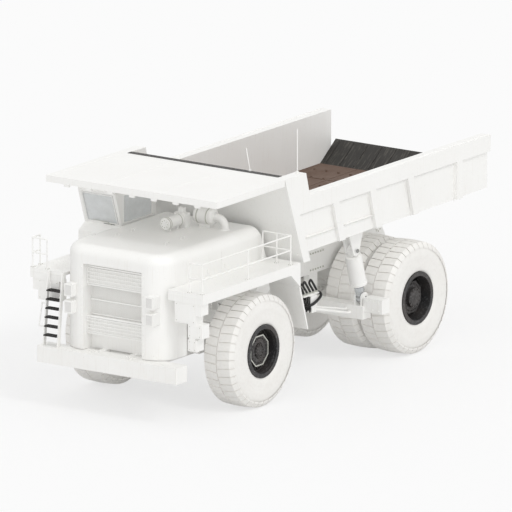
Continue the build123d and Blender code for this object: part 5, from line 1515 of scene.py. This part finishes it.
# ---- hoists ----------------------------------------------------------------------------
@dataclass
class Hoist(SubAssembly):
    """Glands, pin keepers and oil port of one telescopic hoist.

    Attributes:
        side: "left" or "right".
        way: 1 on the left side and -1 on the right.
        across: Distance of the hoist from the middle line.
        foot: Y and Z of the lower pin.
        head: Y and Z of the upper pin.
        stages: Body name and outer radius of each tube, with where its gland stands above the foot pin.
    """

    side: str = "left"
    way: float = 1.0
    across: float = 2.35
    foot: Pair = (1.865, 2.05)
    head: Pair = (1.405, 3.58)
    stages: tuple[tuple[str, float, float], ...] = (("barrel", 0.25, 0.475), ("outer_stage", 0.208, 0.43),
                                                    ("inner_stage", 0.178, 0.395))

    def build(self) -> None:
        """Build a gland on each stage, the oil port and the keepers of both pins."""
        line = (Vector((0.0, *self.head)) - Vector((0.0, *self.foot))).normalized()
        first, second = Vector((1.0, 0.0, 0.0)), line.cross(Vector((1.0, 0.0, 0.0)))
        middle = Vector((self.way * self.across, *self.foot))
        for stage, radius, height in self.stages:
            profile = [(0.0, radius - 0.014), (0.0, radius + 0.012), (0.035, radius + 0.012), (0.045, radius + 0.002),
                       (0.045, radius - 0.014)]
            gland = turn_into(bmesh.new(), profile, middle + line * height, line, first, second, 40)
            self.add(f"hoist_gland_{stage}_{self.side}", gland, "machined_steel", f"hoist_{stage}_{self.side}",
                     smooth=True)
        port = middle + line * 1.2
        outward = Vector((0.0, second.y, second.z)) * (1.0 if second.y > 0 else -1.0)
        self.shapes(f"hoist_port_{self.side}", path_into, (
            ([port + outward * start, port + outward * stop], radius, sides)
            for start, stop, radius, sides in ((0.245, 0.30, 0.035, 16), (0.30, 0.325, 0.026, 6))),
            "zinc_plate", f"hoist_barrel_{self.side}")
        self.keeper("foot", self.foot, 0.175, "chassis")
        self.keeper("head", self.head, 0.20, "dump_body")

    def keeper(self, label: str, pin: Pair, reach: float, body: str) -> None:
        """Close both ends of a pin, a reach from the hoist's middle, with a bolted keeper."""
        form, bolts = bmesh.new(), bmesh.new()
        for out in BOTH:
            face = self.way * self.across + out * reach
            lathe_into(form, [(0.0, 0.004), (0.0, 0.062), (0.016, 0.058), (0.016, 0.004)], (face, *pin), out, 28)
            for turn in (0.0, math.pi / 2, math.pi, 3 * math.pi / 2):
                seat = (face + out * 0.016, pin[0] + 0.038 * math.cos(turn), pin[1] + 0.038 * math.sin(turn))
                bolt_into(bolts, seat, Direction.ACROSS, out, 0.022)
        self.add(f"hoist_pin_keeper_{label}_{self.side}", form, "machined_steel", body, smooth=True)
        self.add(f"hoist_keeper_bolts_{label}_{self.side}", bolts, "zinc_plate", body)


# ---- chassis gear ----------------------------------------------------------------------
@dataclass
class ChassisGear(SubAssembly):
    """Bolts, straps, valves and fittings along the frame.

    Attributes:
        rail_face: Outer face of either rail.
        strut: Middle of either front strut, as distance from the middle line and Y.
        outrigger: Middle of either outrigger's end plate, as distance from the middle line, Y and Z.
    """

    rail_face: float = 0.64
    strut: Pair = (1.65, -4.105)
    outrigger: Point = (2.87, 1.725, 1.875)

    def build(self) -> None:
        """Build the tank's straps, the hoses, rail bolts, strut valves and outrigger bolts."""
        self.fuel_tank()
        self.hoses()
        for label, side in SIDES:
            self.bolt(f"rail_bolts_{label}", ORIGIN, Direction.ACROSS, side, 0.045,
                      Pattern(6, (0.0, 0.13, 0.0), start=(side * self.rail_face, 1.70, 2.66), rows=2,
                              row_step=(0.0, 0.0, 0.5)), "zinc_plate")
        rings, (x, y) = bmesh.new(), self.strut
        for side in BOTH:
            path_into(rings, [(side * (x + out), y, 2.76) for out in (0.20, 0.25)], 0.022, 12)
            for height in (2.70, 2.96):
                self.post_ring(rings, (side * x, y, height), 0.205, 0.016)
        self.add("strut_valves_and_rings", rings, "machined_steel", smooth=True)
        x, y, z = self.outrigger
        self.shapes("outrigger_end_bolts", bolt_into, (
            ((side * (x + across * 1.8), y, z + up), Direction.ALONG, -1.0, 0.045)
            for side in BOTH for across in (-0.12, 0.0, 0.12) for up in (-0.13, 0.13)))

    @staticmethod
    def post_ring(form: Form, middle: Point, radius: float, size: float) -> None:
        """Add a half-round ring round an upright post."""
        profile = [(-size, radius - 0.004), (-size * 0.6, radius + size * 0.7), (size * 0.6, radius + size * 0.7),
                   (size, radius - 0.004)]
        turn_into(form, profile, middle, Direction.UP.value, Direction.ACROSS.value, Direction.ALONG.value, 40)

    def fuel_tank(self) -> None:
        """Strap the tank down and give it a filler neck."""
        low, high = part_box("fuel_tank")
        x, z, radius = (low.x + high.x) / 2, (low.z + high.z) / 2, (high.z - low.z) / 2
        self.shapes("tank_straps", strap_into, (((x, y, z), radius, 0.006, 0.03)
                                                for y in (low.y + 0.3, high.y - 0.3)), "machined_steel", smooth=True)
        neck, mouth, cap = ((x - radius * 0.5 - out, low.y + 0.75, z + radius * 0.86 + up)
                            for out, up in ((0.0, 0.0), (0.06, 0.10), (0.085, 0.14)))
        self.tubes("tank_filler", ([neck, mouth], 0.06, 20), ([mouth, cap], 0.075, 20), finish="machined_steel")

    def hoses(self) -> None:
        """Stand the looped hoses on a manifold over the valve block, with their fittings and tails."""
        low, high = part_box("hose_loops")
        back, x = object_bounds()[0][1], (low.x + high.x) / 2
        self.add("hose_manifold", box_into(bmesh.new(), (x - 0.065, back + 6.60, low.z),
                                           (x + 0.065, back + 7.37, low.z + 0.04), 0.006))
        feet = [back + 6.66 + 0.163 * step for step in range(5)]
        loops, ends = bmesh.new(), bmesh.new()
        for y in feet:
            path_into(ends, [(x, y, low.z + 0.038), (x, y, low.z + 0.09)], [0.046, 0.043], 6)
        base, lean, crown = low.z + 0.07, -0.19, high.z - 0.075

        def hose(knots: list[Point], radius: float, sides: int) -> None:
            """Lay one hose through its knots."""
            path_into(loops, curve_points(knots), radius, sides)

        for y, beyond in ((feet[1], feet[2]), (feet[3], feet[4])):
            hose([(x, y, base), (x, y - 0.012, base + 0.06), (x, y + lean, crown - 0.06),
                  (x, (y + beyond) / 2 + lean - 0.02, crown + 0.038), (x, beyond + lean, crown - 0.06),
                  (x, beyond - 0.012, base + 0.06), (x, beyond, base)], 0.034, 14)
        y = feet[0]
        hose([(x, y, base), (x, y - 0.012, base + 0.06), (x, y - 0.15, crown - 0.1),
              (x - 0.05, y - 0.25, crown - 0.06), (x - 0.13, y - 0.27, crown - 0.25),
              (x - 0.16, y - 0.1, low.z - 0.06), (x - 0.1, y + 0.19, low.z - 0.12)], 0.034, 14)
        hose([(x + out, back + behind, low.z + up) for out, behind, up in (
            (0.0, 7.36, 0.02), (0.03, 7.43, 0.01), (0.11, 7.4, -0.06), (0.17, 7.15, -0.15), (0.17, 6.9, -0.23),
            (0.08, 6.8, -0.28), (0.0, 6.862, -0.29))], 0.043, 14)
        for step in range(4):
            side, drop, face = low.x + 0.02 + 0.06 * step, 0.30 + 0.05 * (step % 2), back + 6.86
            hose([(side + out, face + along, low.z + up) for out, along, up in (
                (0.0, 0.002, -0.03), (0.0, -0.036, -0.05), (0.01, -0.04, -0.2), (0.05, -0.045, -drop),
                (0.02, -0.036, -drop - 0.12), (-0.01, 0.002, -drop + 0.02))], 0.021, 10)
        self.add("hose_run", loops, "hose_rubber", replaces=("hose_loops",), smooth=True)
        self.add("hose_ends", ends, "zinc_plate")


# ---- the whole truck -------------------------------------------------------------------
def dress_nodes(finishes: dict[str, Material]) -> None:
    """Give each carried-over node the finish of its slot."""
    for row in frame["record"]["subparts"]:
        dress(frame["nodes"][row["node"]], finishes[row["material_slot"]])
        LOG.info("%s keeps its form, %s", row["node"], row["material_slot"])


def main() -> None:
    """Build the truck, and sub-assembly by sub-assembly."""
    logging.basicConfig(level=logging.INFO, format="%(name)s %(message)s")
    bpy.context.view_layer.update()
    finishes = {name: finish.build() for name, finish in FINISHES.items()}
    Studio().build()
    dress_nodes(finishes)
    parts: list[SubAssembly] = [kind(finishes) for kind in (RadiatorFront, Decks, Cab, HoodGear, DumpBody, ChassisGear)]
    for name, way in SIDES:
        front, rear = f"wheel_front_{name}", f"wheel_rear_{name}"
        parts += [
            HaulTyre(finishes, front, node=f"tyre_front_{name}", centres=(2.5,), way=way),
            HaulTyre(finishes, rear, node=f"tyres_rear_{name}", centres=(1.27, 2.47), way=way),
            WheelTrim(finishes, front, node=f"rim_front_{name}", way=way),
            WheelTrim(finishes, rear, node=f"rims_rear_{name}", way=way, steered=False, face=2.35, hub=(0.47, 0.42),
                      cap=(0.30, 0.11)),
            Hoist(finishes, side=name, way=way),
        ]
    for part in parts:
        part.build()
    LOG.info("%d sub-assemblies, %d pieces", len(parts), sum(len(part.made) for part in parts))


if __name__ == "__main__":
    main()
